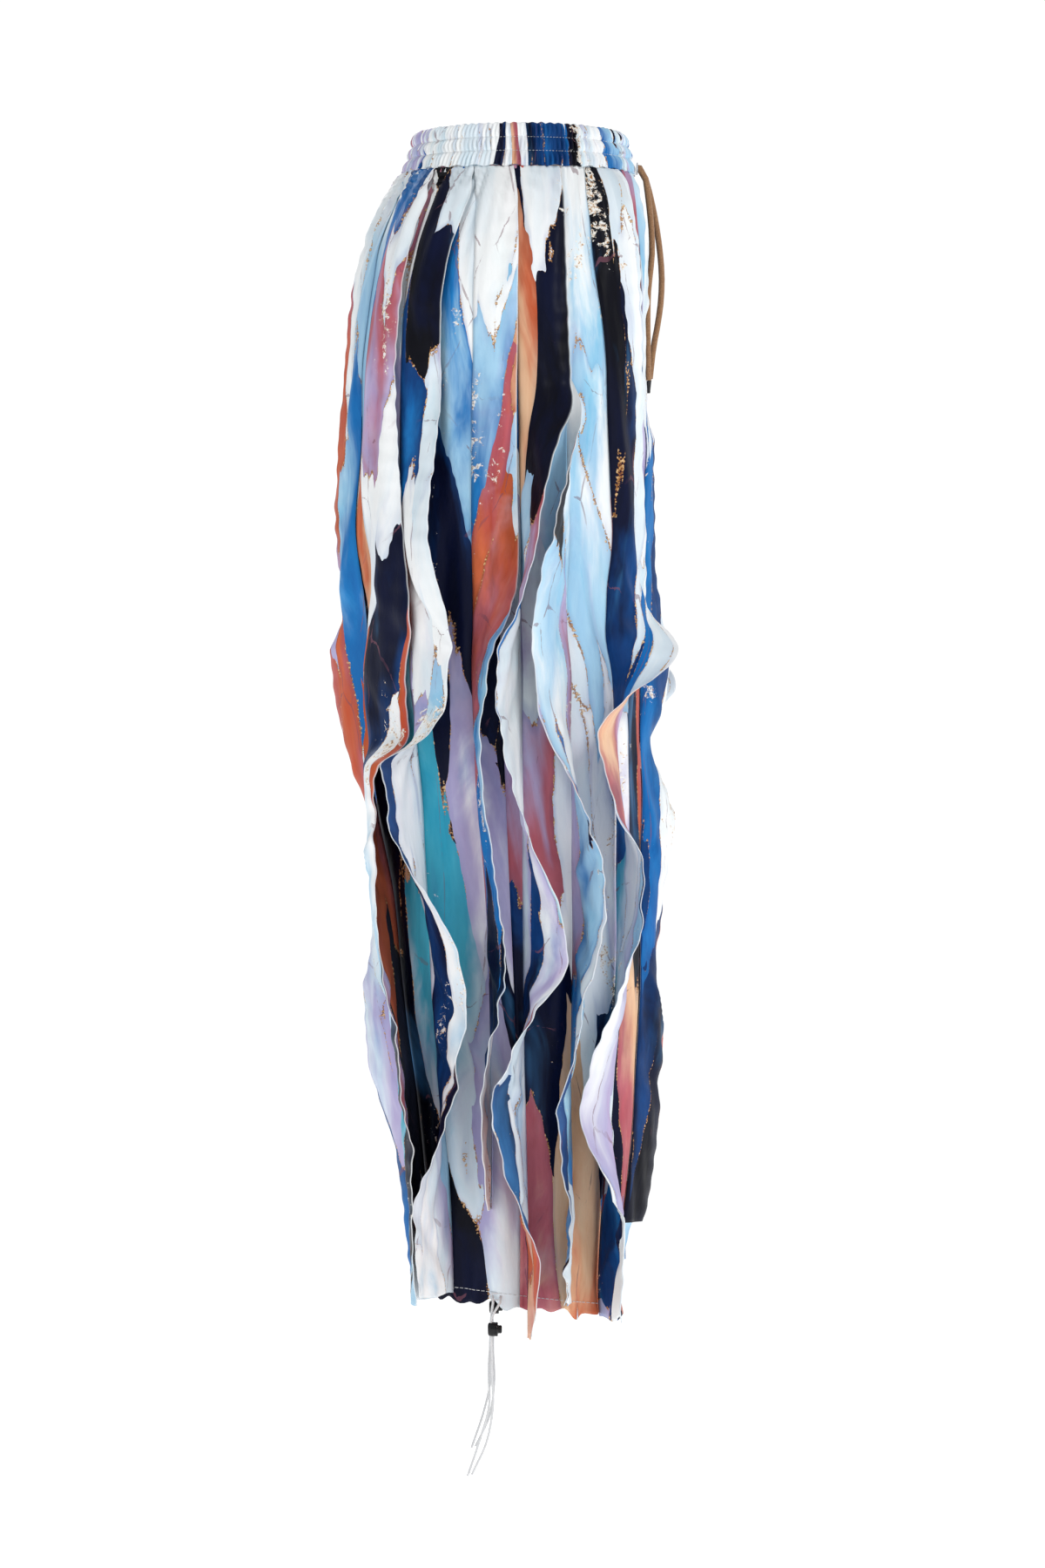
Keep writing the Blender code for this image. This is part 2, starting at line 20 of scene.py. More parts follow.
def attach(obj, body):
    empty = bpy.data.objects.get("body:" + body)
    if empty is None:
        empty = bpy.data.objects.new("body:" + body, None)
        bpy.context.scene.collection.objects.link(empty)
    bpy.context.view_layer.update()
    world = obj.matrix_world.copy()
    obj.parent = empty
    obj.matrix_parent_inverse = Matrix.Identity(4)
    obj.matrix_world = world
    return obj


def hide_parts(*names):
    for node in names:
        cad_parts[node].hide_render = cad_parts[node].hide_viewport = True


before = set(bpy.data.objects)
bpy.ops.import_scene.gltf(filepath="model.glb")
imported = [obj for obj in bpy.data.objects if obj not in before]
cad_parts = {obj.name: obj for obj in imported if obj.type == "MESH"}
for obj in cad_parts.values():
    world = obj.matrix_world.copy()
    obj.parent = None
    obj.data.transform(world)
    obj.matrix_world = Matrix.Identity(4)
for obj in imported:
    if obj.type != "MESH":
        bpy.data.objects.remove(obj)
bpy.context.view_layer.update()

# %% [markdown]
# ## The camera
#
# The garment is seen square from its right side with a long lens,
# so that near and far parts have almost one scale. A camera that stands well
# back with a long lens gives that, and its height is the middle of the view.

# %% Camera
PIXEL = 0.000747                          # metres to one picture element
PICTURE_HIGH = 1800                       # picture elements
MIDDLE_ACROSS, MIDDLE_DOWN = 600, 900
WAIST_ACROSS, WAIST_DOWN = 597, 137       # where the waist's top is seen
SENSOR = 36.0                             # mm
AWAY, NEAR = 9.0, -0.17                   # camera's distance, and where the near leg is
camera_data = bpy.data.cameras.new("camera")
camera_data.lens = SENSOR * (AWAY + NEAR) / (PICTURE_HIGH * PIXEL)
camera = bpy.data.objects.new("camera", camera_data)
camera.location = (-AWAY, (WAIST_ACROSS - MIDDLE_ACROSS) * PIXEL, (WAIST_DOWN - MIDDLE_DOWN) * PIXEL)
camera.rotation_euler = (math.pi / 2, 0, -math.pi / 2)
bpy.context.scene.collection.objects.link(camera)
bpy.context.scene.camera = camera
bpy.context.scene.view_settings.view_transform = "Standard"
print("lens", round(camera_data.lens, 1), "mm")

# %% [markdown]
# ## Small helpers for materials
#
# Each finish is a tree of shader nodes. A short helper that adds a node, sets
# its inputs and joins it to others keeps every tree readable.


# %% Node helpers
def node(tree, kind, inputs=None, **settings):
    """Add a node; inputs may be values or other nodes' outputs."""
    made = tree.nodes.new(kind)
    for name, value in settings.items():
        setattr(made, name, value)
    for key, value in (inputs or {}).items():
        if isinstance(value, bpy.types.NodeSocket):
            tree.links.new(value, made.inputs[key])
        else:
            made.inputs[key].default_value = value
    return made


def math_node(tree, operation, *values):
    """One step of arithmetic; gives the node's output."""
    return node(tree, "ShaderNodeMath", dict(enumerate(values)), operation=operation).outputs[0]


def ramp(tree, factor, stops, interpolation="LINEAR"):
    """Colours by factor; stops are (place, colour) pairs."""
    made = node(tree, "ShaderNodeValToRGB", {"Fac": factor})
    made.color_ramp.interpolation = interpolation
    while len(made.color_ramp.elements) < len(stops):
        made.color_ramp.elements.new(0.5)
    for element, (place, colour) in zip(made.color_ramp.elements, stops):
        element.position = place
        element.color = (*colour, 1) if len(colour) == 3 else colour
    return made.outputs[0]


def mix(tree, factor, first, second, blend="MIX"):
    """Two colours mixed; any of the three may be a node's output."""
    made = node(tree, "ShaderNodeMix", data_type="RGBA", blend_type=blend)
    for key, value in ((0, factor), (6, first), (7, second)):
        if isinstance(value, bpy.types.NodeSocket):
            tree.links.new(value, made.inputs[key])
        else:
            made.inputs[key].default_value = (*value, 1) if hasattr(value, "__len__") else value
    return made.outputs[2]


def srgb(text):
    """Linear colour from a six-digit one."""
    parts = [int(text[i:i + 2], 16) / 255 for i in (0, 2, 4)]
    return tuple(p / 12.92 if p <= 0.04045 else ((p + 0.055) / 1.055) ** 2.4 for p in parts)


def new_group(name, inputs, outputs):
    """Shader node group; sockets are (label, kind, default) in order."""
    group = bpy.data.node_groups.new(name, "ShaderNodeTree")
    for kind, where in (("INPUT", inputs), ("OUTPUT", outputs)):
        for label, socket, value in where:
            made = group.interface.new_socket(label, in_out=kind, socket_type=socket)
            if value is not None:
                made.default_value = value
    return group, group.nodes.new("NodeGroupInput"), group.nodes.new("NodeGroupOutput")


def principled(name, roughness, **sockets):
    """A material with its Principled shader; other sockets by name."""
    material = bpy.data.materials.new(name)
    material.use_nodes = True
    tree = material.node_tree
    shader = tree.nodes["Principled BSDF"]
    shader.inputs["Roughness"].default_value = roughness
    for key, value in sockets.items():
        shader.inputs[key.replace("_", " ")].default_value = value
    return material, tree, shader


# %% [markdown]
# ## The print
#
# The cloth carries a generic marbled print: long flowing areas of white, sky
# blue, lilac, deep blue, near-black navy, rust and rose, with thin gold veins
# between them and flecks of torn leaf. A print could be a picture, but a
# procedural one needs no file and can be any size. It reads each piece's own
# UV map, which is in metres of cloth, so it follows the cloth round every
# fold, and each piece is cut from another place of it.
#
# This cell names the inks. A family is a kind of area: on a scale from the
# palest to the warmest it has a place, an ink, and what that ink runs into.

# %% Inks
WHITE, PALE, SKY, LILAC = srgb("f6f8f8"), srgb("dfeaf1"), srgb("a6cfe9"), srgb("b7afd4")
BLUE, DEEP, NAVY, BLACK = srgb("1b72b8"), srgb("0f3f78"), srgb("080f2c"), srgb("050612")
AQUA, RUST, ROSE, PEACH = srgb("45aec6"), srgb("c45c38"), srgb("b7606a"), srgb("e9bd97")
GOLD, CREAM, BROWN = srgb("a8743a"), srgb("f1e4d2"), srgb("6d3a2b")
BLUES_FROM, WARM_FROM = 0.42, 0.81
FAMILIES = [
    (0.00, WHITE, PALE), (0.13, WHITE, SKY), (0.22, PALE, LILAC), (0.30, SKY, WHITE),
    (0.36, LILAC, WHITE), (BLUES_FROM, BLUE, SKY), (0.47, DEEP, BLUE),
    (0.565, NAVY, DEEP), (0.67, NAVY, BLACK), (0.785, AQUA, PALE),
    (WARM_FROM, ROSE, LILAC), (0.87, RUST, ROSE), (0.93, ROSE, PEACH), (0.97, PEACH, RUST)]
print("families of areas", len(FAMILIES))

# %% [markdown]
# ## Where the areas lie
#
# Marbled areas come from Voronoi cells, stretched along the cloth by giving
# the cells a width and a length. Two noises push the cells about, a slow one
# and a fine one, so that their edges flow. Cells alone would end bluntly: a
# steep noise and a zigzag shift them along the cloth, and their ends grow
# into points. Distance to the cell's edge is kept for the seams.


# %% Areas of the print
def stretched_noise(tree, vector, across, along, place=(0, 0, 0), **settings):
    """Noise with its own scale across and along the cloth, a metre."""
    mapping = {"Vector": vector, "Scale": (across, along, 1), "Location": place}
    mapped = node(tree, "ShaderNodeMapping", mapping).outputs[0]
    inputs = {"Vector": mapped, "Scale": 1.0}
    inputs.update(settings)
    return node(tree, "ShaderNodeTexNoise", inputs)


def soft_step(tree, value, low, high):
    """0 at low, 1 at high, smooth between."""
    made = node(tree, "ShaderNodeMapRange", {0: value, 1: low, 2: high}, interpolation_type="SMOOTHSTEP")
    return made.outputs[0]


def cells_of(tree, vector, feature):
    """Flat Voronoi cells, one to a unit."""
    return node(tree, "ShaderNodeTexVoronoi", {"Vector": vector, "Scale": 1.0},
                voronoi_dimensions="2D", feature=feature)


def second_part(tree, vector):
    """How far along the cloth a vector points."""
    return node(tree, "ShaderNodeSeparateXYZ", {0: vector}).outputs[1]


GIVEN = [("Start", 0.0), ("Width", 0.050), ("Length", 0.230), ("Top", 1.0), ("Low", 1.0)]
group, gin, gout = new_group(
    "marbled_print",
    [("Cloth", "NodeSocketVector", None)] + [(label, "NodeSocketFloat", value) for label, value in GIVEN],
    [("Color", "NodeSocketColor", None), ("Vein", "NodeSocketFloat", None)])
cloth = gin.outputs["Cloth"]
# scale across and along, place, push in metres, detail
BENDS = [(6.0, 2.1, (0, 0, 0), (0.085, 0.24, 0), 1.5), (34, 9, (5, 2, 0), (0.012, 0.045, 0), 3.0)]
flow = cloth
for across, along, place, push, detail in BENDS:
    bend = stretched_noise(group, cloth, across, along, place, Detail=detail, Roughness=0.5)
    centred = node(group, "ShaderNodeVectorMath", {0: bend.outputs["Color"], 1: (0.5, 0.5, 0.5)},
                   operation="SUBTRACT").outputs[0]
    pushed = node(group, "ShaderNodeVectorMath", {0: centred, 1: push}, operation="MULTIPLY").outputs[0]
    flow = node(group, "ShaderNodeVectorMath", {0: flow, 1: pushed}, operation="ADD").outputs[0]
split = node(group, "ShaderNodeSeparateXYZ", {0: flow})
SLANT = 0.12                     # areas lean a little
slant = math_node(group, "MULTIPLY_ADD", split.outputs[1], SLANT, split.outputs[0])
POINT = 0.55                     # metres that the steep noise shifts the ends
TOOTH, TOOTH_REACH = 0.021, 5.0  # width of a zigzag's tooth, and its length in widths
steep = stretched_noise(group, cloth, 15, 1.1, (9, 9, 0), Detail=0.0)
pointed = math_node(group, "SUBTRACT", steep.outputs["Fac"], 0.5)
shifted = math_node(group, "MULTIPLY_ADD", pointed, POINT, split.outputs[1])
wavering = math_node(group, "MULTIPLY_ADD", bend.outputs["Fac"], 0.040, slant)
zigzag = math_node(group, "PINGPONG", wavering, TOOTH)
shifted = math_node(group, "MULTIPLY_ADD", zigzag, TOOTH_REACH, shifted)
cell_at = node(group, "ShaderNodeCombineXYZ", {
    0: math_node(group, "DIVIDE", slant, gin.outputs["Width"]),
    1: math_node(group, "DIVIDE", shifted, gin.outputs["Length"])}).outputs[0]
cells = cells_of(group, cell_at, "F1")
to_edge = cells_of(group, cell_at, "DISTANCE_TO_EDGE").outputs["Distance"]
chance = node(group, "ShaderNodeSeparateColor", {0: cells.outputs["Color"]})
print("nodes for the areas", len(group.nodes))

# %% [markdown]
# ## Which ink, and how it runs
#
# Each area draws its family by chance. A power of that chance makes the pale
# families commoner near the waist and the dark and warm ones commoner low
# down. Then the ink runs into its second colour along the area in smoky
# tongues, watery light and dark lie over it, the hue drifts slowly, and
# pigment pools at the edges, as it does in wet paint.

# %% Inks that run and pool
PALE_UNTIL, DARK_FROM = 0.14, 0.42         # metres below the piece's start
cell_row = second_part(group, cells.outputs["Position"])
along_cloth = math_node(group, "MULTIPLY", cell_row, gin.outputs["Length"])
below_start = math_node(group, "SUBTRACT", along_cloth, gin.outputs["Start"])
down = soft_step(group, below_start, PALE_UNTIL, DARK_FROM)
powers = {0: down, 2: gin.outputs["Top"], 3: gin.outputs["Low"]}
power = node(group, "ShaderNodeMix", powers, data_type="FLOAT")
family = math_node(group, "POWER", chance.outputs[0], power.outputs[0])
ink = ramp(group, family, [(at, one) for at, one, _ in FAMILIES], "CONSTANT")
runs_to = ramp(group, family, [(at, two) for at, _, two in FAMILIES], "CONSTANT")

smoke = stretched_noise(group, flow, 17, 5, (3, 7, 0), Detail=5.0, Roughness=0.55, Distortion=1.0)
inside = node(group, "ShaderNodeVectorMath", {0: cell_at, 1: cells.outputs["Position"]}, operation="SUBTRACT")
up_or_down = math_node(group, "GREATER_THAN", chance.outputs[2], 0.5)
sign = math_node(group, "MULTIPLY_ADD", up_or_down, 2.0, -1.0)
way = math_node(group, "MULTIPLY", second_part(group, inside.outputs[0]), sign)
tongues = math_node(group, "MULTIPLY_ADD", smoke.outputs["Fac"], 2.4, -0.72)
run = math_node(group, "MULTIPLY_ADD", way, 0.80, tongues)
washed = mix(group, soft_step(group, run, 0.20, 0.90), ink, runs_to)

water = stretched_noise(group, flow, 30, 8, (11, 3, 0), Detail=6.0, Roughness=0.6, Distortion=0.8)
watery = ramp(group, water.outputs["Fac"], [(0.30, (0.22,) * 3), (0.5, (0.5,) * 3), (0.72, (0.80,) * 3)])
washed = mix(group, 0.75, washed, watery, "SOFT_LIGHT")
bloom = stretched_noise(group, flow, 12, 4.5, (1, 9, 0), Detail=4.0, Roughness=0.5, Distortion=1.4)
HAZES = [(0.0, PALE), (BLUES_FROM, srgb("4f9bd6")), (WARM_FROM, srgb("d8a9b0"))]
haze = ramp(group, family, HAZES, "CONSTANT")
hazy = math_node(group, "MULTIPLY", soft_step(group, bloom.outputs["Fac"], 0.56, 0.74), 0.40)
washed = mix(group, hazy, washed, haze)
drift = stretched_noise(group, flow, 22, 7, (7, 2, 0), Detail=4.0, Roughness=0.55, Distortion=1.2)
teal_to_rose = ramp(group, drift.outputs["Fac"], [
    (0.30, srgb("4f9fae")), (0.44, srgb("bcc0c4")), (0.54, srgb("bcbcbc")), (0.70, srgb("c98f9a"))])
washed = mix(group, 0.55, washed, teal_to_rose, "SOFT_LIGHT")
near_edge = math_node(group, "SUBTRACT", 1.0, soft_step(group, to_edge, 0.0, 0.10))
pool = math_node(group, "MULTIPLY", near_edge, soft_step(group, water.outputs["Fac"], 0.38, 0.62))
deeper = mix(group, 1.0, washed, (0.50, 0.55, 0.72), "MULTIPLY")
pooled = mix(group, math_node(group, "MULTIPLY", pool, 0.6), washed, deeper)
print("nodes with the inks", len(group.nodes))

# %% [markdown]
# ## Gold seams, cracks and torn leaf
#
# Metal powder was poured along some of the seams, so a grainy vein runs on
# the cells' edges where a noise lets it, and breaks off elsewhere. A second,
# smaller set of cells gives a few long hair cracks, and specks of a coarse
# noise above a limit are the torn leaf. The limit falls in patches, so the
# leaf lies in clusters.

# %% Seams, cracks and leaf
VEIN_WIDE, CRACK_WIDE = 0.040, 0.014       # shares of a cell
broken = stretched_noise(group, cloth, 60, 26, (2, 2, 0), Detail=5.0, Roughness=0.68).outputs["Fac"]
patches = stretched_noise(group, cloth, 13, 5, (8, 1, 0), Detail=1.0).outputs["Fac"]
in_patch = math_node(group, "MULTIPLY", soft_step(group, patches, 0.40, 0.52), VEIN_WIDE)
vein_wide = math_node(group, "MULTIPLY", soft_step(group, broken, 0.42, 0.66), in_patch)
POWDER = {"Vector": cloth, "Scale": 420.0, "Detail": 2.0, "Roughness": 0.6}
grain = node(group, "ShaderNodeTexNoise", POWDER).outputs["Fac"]
grainy = math_node(group, "MULTIPLY", vein_wide, soft_step(group, grain, 0.38, 0.60))
vein = math_node(group, "LESS_THAN", to_edge, grainy)
powder = ramp(group, grain, [(0.46, BROWN), (0.54, GOLD), (0.64, srgb("e6c493"))])
veined = mix(group, math_node(group, "MULTIPLY", vein, 0.9), pooled, powder)

mapping = {"Vector": flow, "Scale": (21, 7.5, 1), "Location": (4, 4, 0)}
crack_at = node(group, "ShaderNodeMapping", mapping).outputs[0]
to_crack = cells_of(group, crack_at, "DISTANCE_TO_EDGE").outputs["Distance"]
crack_wide = math_node(group, "MULTIPLY", soft_step(group, broken, 0.44, 0.60), CRACK_WIDE)
crack = math_node(group, "LESS_THAN", to_crack, crack_wide)
crack = math_node(group, "MULTIPLY", crack, soft_step(group, bloom.outputs["Fac"], 0.44, 0.56))
cracked = mix(group, math_node(group, "MULTIPLY", crack, 0.55), veined, srgb("7a4d5c"))

LEAF = {"Vector": cloth, "Scale": 130.0, "Detail": 7.0, "Roughness": 0.74, "Distortion": 0.6}
leaf_grain = node(group, "ShaderNodeTexNoise", LEAF)
leaf_patch = stretched_noise(group, flow, 14, 5, (6, 5, 0), Detail=3.0, Roughness=0.6)
LEAF_LESS, LEAF_LIMIT = -0.27, 0.76         # the limit, and its fall inside a patch
in_leaf_patch = soft_step(group, leaf_patch.outputs["Fac"], 0.52, 0.72)
leaf_limit = math_node(group, "MULTIPLY_ADD", in_leaf_patch, LEAF_LESS, LEAF_LIMIT)
leaf = math_node(group, "GREATER_THAN", leaf_grain.outputs["Fac"], leaf_limit)
torn = ramp(group, grain, [(0.36, GOLD), (0.46, CREAM), (0.62, WHITE)])
final = mix(group, math_node(group, "MULTIPLY", leaf, 0.92), cracked, torn)
group.links.new(final, gout.inputs["Color"])
group.links.new(math_node(group, "MAXIMUM", vein, leaf), gout.inputs["Vein"])
marbled_print = group
print("print group nodes", len(group.nodes))

# %% [markdown]
# ## Cloth materials
#
# The cloth is a smooth satin, fairly rough, with hardly any shine. Both faces
# carry the print, the back from another place of it, and each strip's
# free edge is a narrow rolled hem that shows the pale yarn. One maker
# function gives the three cloths, which differ in the size of the print's
# areas and in how soon it turns dark. Fine crepe and soft rumples that are
# too small to model are bump.


# %% Cloth materials
BACK_PALE, HEM_PALE = 0.025, 0.75      # shares of off-white over the print


def cloth_material(name, width, length, crease, front, back_print):
    """Printed cloth; front and back_print are the powers at the top and low."""
    material, tree, shader = principled(name, 0.44, Sheen_Weight=0.0, Specular_IOR_Level=0.12)
    uv = node(tree, "ShaderNodeUVMap", uv_map="cloth").outputs[0]
    away = node(tree, "ShaderNodeVectorMath", {0: uv, 1: (5.3, 2.1, 0)}, operation="ADD").outputs[0]
    start = node(tree, "ShaderNodeAttribute", attribute_name="start").outputs["Fac"]
    sides = []
    for vector, (top, low) in ((uv, front), (away, back_print)):
        cut = {"Cloth": vector, "Start": start, "Width": width, "Length": length, "Top": top, "Low": low}
        sides.append(node(tree, "ShaderNodeGroup", cut, node_tree=marbled_print))
    back = node(tree, "ShaderNodeAttribute", attribute_name="back").outputs["Fac"]
    hem = node(tree, "ShaderNodeAttribute", attribute_name="hem").outputs["Fac"]
    faint = mix(tree, BACK_PALE, sides[1].outputs["Color"], srgb("eef3f6"))
    sided = mix(tree, back, sides[0].outputs["Color"], faint)
    edged = mix(tree, math_node(tree, "MULTIPLY", hem, HEM_PALE), sided, srgb("e9edef"))
    tree.links.new(edged, shader.inputs["Base Color"])
    rough = math_node(tree, "SUBTRACT", 0.46, math_node(tree, "MULTIPLY", sides[0].outputs["Vein"], 0.14))
    tree.links.new(rough, shader.inputs["Roughness"])
    soft = stretched_noise(tree, uv, 60, 18, Detail=4.0, Roughness=0.5)
    crepe = stretched_noise(tree, uv, 1500, 900, Detail=2.0)
    fine = {"Height": crepe.outputs["Fac"], "Strength": 0.10, "Distance": 0.0003}
    crinkled = node(tree, "ShaderNodeBump", fine).outputs[0]
    coarse = {"Height": soft.outputs["Fac"], "Normal": crinkled, "Strength": crease, "Distance": 0.004}
    tree.links.new(node(tree, "ShaderNodeBump", coarse).outputs[0], shader.inputs["Normal"])
    return material


# name, width and length of an area in metres, strength of the rumples, powers
PRINT = cloth_material("print_cloth", 0.052, 0.260, 0.45, (1.6, 0.72), (4.0, 4.0))
STRIP_PRINT = cloth_material("print_strip_cloth", 0.046, 0.230, 0.35, (1.8, 0.72), (1.8, 1.2))
BAND_PRINT = cloth_material("print_band_cloth", 0.034, 0.110, 0.08, (2.5, 2.5), (4.0, 4.0))
print("cloths", PRINT.name, STRIP_PRINT.name, BAND_PRINT.name)

# %% [markdown]
# ## The form of the legs
#
# A table of sections from top to hem gives the front, the back and each leg's
# middle and half width. Between its rows a smooth curve runs, and a rounded
# box outline closes each section. A place on a leg is then two numbers: a,
# from 0 at the front centre or inseam over 1 at the side seam to 2 at the
# back, and the height z. Everything sewn is placed by these two, which is
# easier to think in than x and y, and to mirror for the other leg.

# %% Sections of the form
Z_WAIST, Z_HEM, TILT = -0.0378, -1.0185, 0.020
POWER = 2.25             # of the rounded box outline; 2 would be an ellipse
# height, front, back, leg centre, leg half width
BODY = np.array([
    [0.004, -0.0885, 0.0895, 0.0000, 0.1270], [-0.037, -0.0985, 0.0985, 0.0000, 0.1370],
    [-0.055, -0.1010, 0.1110, 0.0130, 0.1380], [-0.080, -0.1035, 0.1210, 0.0240, 0.1410],
    [-0.115, -0.1055, 0.1310, 0.0370, 0.1440], [-0.160, -0.1065, 0.1390, 0.0500, 0.1430],
    [-0.225, -0.1075, 0.1450, 0.0640, 0.1370], [-0.320, -0.1075, 0.1460, 0.0810, 0.1220],
    [-0.400, -0.1070, 0.1420, 0.0940, 0.1100], [-0.450, -0.1055, 0.1390, 0.1000, 0.1020],
    [-0.470, -0.1045, 0.1370, 0.1015, 0.1000], [-0.536, -0.1020, 0.1300, 0.1040, 0.0960],
    [-0.620, -0.1020, 0.1230, 0.1060, 0.0920], [-0.700, -0.1030, 0.1170, 0.1070, 0.0885],
    [-0.790, -0.0990, 0.1060, 0.1080, 0.0850], [-0.870, -0.0940, 0.0950, 0.1080, 0.0815],
    [-0.940, -0.0890, 0.0880, 0.1080, 0.0785], [-1.015, -0.0850, 0.0850, 0.1080, 0.0765],
    [-1.060, -0.0850, 0.0850, 0.1080, 0.0765]])


def ease(heights, values, z):
    """Smooth curve through values at falling heights, read at z."""
    x, y = heights[::-1], values[::-1]
    step = np.diff(y) / np.diff(x)
    slope = np.concatenate([[step[0]], np.zeros(len(y) - 2), [step[-1]]])
    same = step[:-1] * step[1:] > 0
    total = np.where(same, step[:-1] + step[1:], 1.0)
    slope[1:-1] = np.where(same, 2 * step[:-1] * step[1:] / total, 0.0)
    z = np.clip(z, x[0], x[-1])
    i = np.clip(np.searchsorted(x, z, side="right") - 1, 0, len(x) - 2)
    h = x[i + 1] - x[i]
    s = (z - x[i]) / h
    return ((2 * s**3 - 3 * s**2 + 1) * y[i] + (s**3 - 2 * s**2 + s) * h * slope[i]
            + (3 * s**2 - 2 * s**3) * y[i + 1] + (s**3 - s**2) * h * slope[i + 1])


print("sections of the form", len(BODY))

# %% [markdown]
# ## The outline at every height
#
# At each level a rounded box is drawn through the front, the back and the
# side of a leg, and walked along its length, so that equal steps of a are
# equal lengths of cloth. Then the levels are smoothed into their neighbours,
# which rounds the crotch, where the outline opens quickly.

# %% Outline of a leg
LEVELS = np.linspace(-1.056, 0.004, 531)       # heights where the form is worked out, 2 mm apart
SHARES = np.linspace(0, 2, 361)
SOFT_ROWS, SOFT_SPREAD = 24, 8.0               # how far the levels are smoothed into each other


def sample_form():
    """Right leg's outline at every level: points, outward normals, lengths."""
    points = np.zeros((len(LEVELS), len(SHARES), 2))
    lengths = np.zeros(len(LEVELS))
    front, back, centre, half = (ease(BODY[:, 0], BODY[:, k], LEVELS) for k in (1, 2, 3, 4))
    for r in range(len(LEVELS)):
        c, a, b, middle = centre[r], half[r], (back[r] - front[r]) / 2, (back[r] + front[r]) / 2
        start = math.acos((c / a) ** (POWER / 2)) if c < a else 0.0
        turn = start + (math.pi - start) * np.linspace(0, 1, 301)
        cos, sin = np.cos(turn), np.clip(np.sin(turn), 0, 1)
        x = -c + a * np.sign(cos) * np.abs(cos) ** (2 / POWER)
        y = b * sin ** (2 / POWER)
        run = np.concatenate([[0], np.cumsum(np.hypot(np.diff(x), np.diff(y)))])
        lengths[r] = run[-1]
        t = np.where(SHARES <= 1, SHARES, 2 - SHARES) * run[-1]
        across = np.interp(t, run, y)
        points[r, :, 0] = np.interp(t, run, x)
        points[r, :, 1] = np.where(SHARES <= 1, middle - across, middle + across)
    # a soft curve through the crotch, where the outline opens quickly
    reach = np.arange(-SOFT_ROWS, SOFT_ROWS + 1)
    weight = np.exp(-(reach / SOFT_SPREAD) ** 2 / 2)
    weight /= weight.sum()
    flat = np.column_stack([points.reshape(len(LEVELS), -1), lengths])
    before = 2 * flat[:1] - flat[SOFT_ROWS:0:-1]
    after = 2 * flat[-1:] - flat[-2:-SOFT_ROWS - 2:-1]
    padded = np.vstack([before, flat, after])
    flat = sum(w * padded[k:k + len(LEVELS)] for k, w in enumerate(weight))
    points, lengths = flat[:, :-1].reshape(points.shape), flat[:, -1]
    along = np.gradient(points, axis=1)
    along /= np.maximum(np.linalg.norm(along, axis=2, keepdims=True), 1e-9)
    normals = np.stack([along[..., 1], -along[..., 0]], -1)
    outwards = points - np.stack([-centre, (front + back) / 2], -1)[:, None, :]
    normals *= np.sign(np.median((normals * outwards).sum(-1)))
    return points, normals, lengths


POINTS, NORMALS, LENGTHS = sample_form()
print("levels", len(LEVELS), "half girth at hem", round(float(LENGTHS[20]), 3), "m")

# %% [markdown]
# ## Reading a place on the form
#
# Levels and shares make a grid. Any place between its points is blended from
# the four around it, and whole arrays of places are read at once, because a
# panel has nearly twenty thousand points. Rows of the cloth aren't level:
# they sink towards the hem at the front, and rise at the back.

# %% Places on a leg

def on_form(a, z):
    """Points (x, y), outward normals and half lengths at arrays a and z."""
    a, z = np.broadcast_arrays(np.asarray(a, float), np.asarray(z, float))
    col = np.clip(a, 0, 2) / 2 * (len(SHARES) - 1)
    row = np.clip((z - LEVELS[0]) / (LEVELS[-1] - LEVELS[0]), 0, 1) * (len(LEVELS) - 1)
    c0 = np.minimum(col.astype(int), len(SHARES) - 2)
    r0 = np.minimum(row.astype(int), len(LEVELS) - 2)
    fc, fr = (col - c0)[..., None], (row - r0)[..., None]

    def blend(grid):
        return ((grid[r0, c0] * (1 - fc) + grid[r0, c0 + 1] * fc) * (1 - fr)
                + (grid[r0 + 1, c0] * (1 - fc) + grid[r0 + 1, c0 + 1] * fc) * fr)

    normal = blend(NORMALS)
    normal /= np.maximum(np.linalg.norm(normal, axis=-1, keepdims=True), 1e-9)
    length = LENGTHS[r0] * (1 - fr[..., 0]) + LENGTHS[r0 + 1] * fr[..., 0]
    return blend(POINTS), normal, length


def height_at(a, v):
    """Height of share v down the leg (0 waist seam, 1 hem): lower in front."""
    t = np.where(a <= 1, a, 2 - a)
    share = np.sin(np.pi * t) * np.where(a <= 1, 0.5, -0.5)
    return Z_WAIST + v * (Z_HEM - Z_WAIST) - share * TILT * v * v


print("hem at the middle of the front and back", height_at(np.array([0.5, 1.5]), 1).round(3), "m")

# %% [markdown]
# ## Folds of the cloth
#
# Four families of soft folds lie over the plain form: close gathers that
# run down from the waist seam and die out over the hip, long slow drapes
# down the leg, small waves between them, and short gathers above the corded
# hem. Each is a sum of waves whose lengths have no common measure, so that
# no two folds match. Folds could be sculpted one by one, but a field of them
# can be read anywhere.
# Strips use the same folds where they are sewn, so they follow the panel.


# %% Fold field
def waves(place, z, lengths, seed, slant=0.0, change=0.25):
    """Sum of soft ridges over the place along the girth, -1 to 1."""
    rng = np.random.default_rng(seed)
    total = np.zeros(np.broadcast(place, z).shape)
    for length in lengths:
        phase, drift, turn = rng.uniform(0, 2 * np.pi, 3)
        strength = 1 + 0.6 * np.sin(2 * np.pi * z / change + turn)
        wobble = 0.5 * np.sin(2 * np.pi * z / (change * 0.8) + drift)
        total = total + strength * np.sin(2 * np.pi * (place + slant * z) / length + phase + wobble)
    return total / len(lengths)


CORD_TOP, CORD_END, CORD_FADE = -0.15, -0.27, 0.03       # heights between which the cord's ends lie


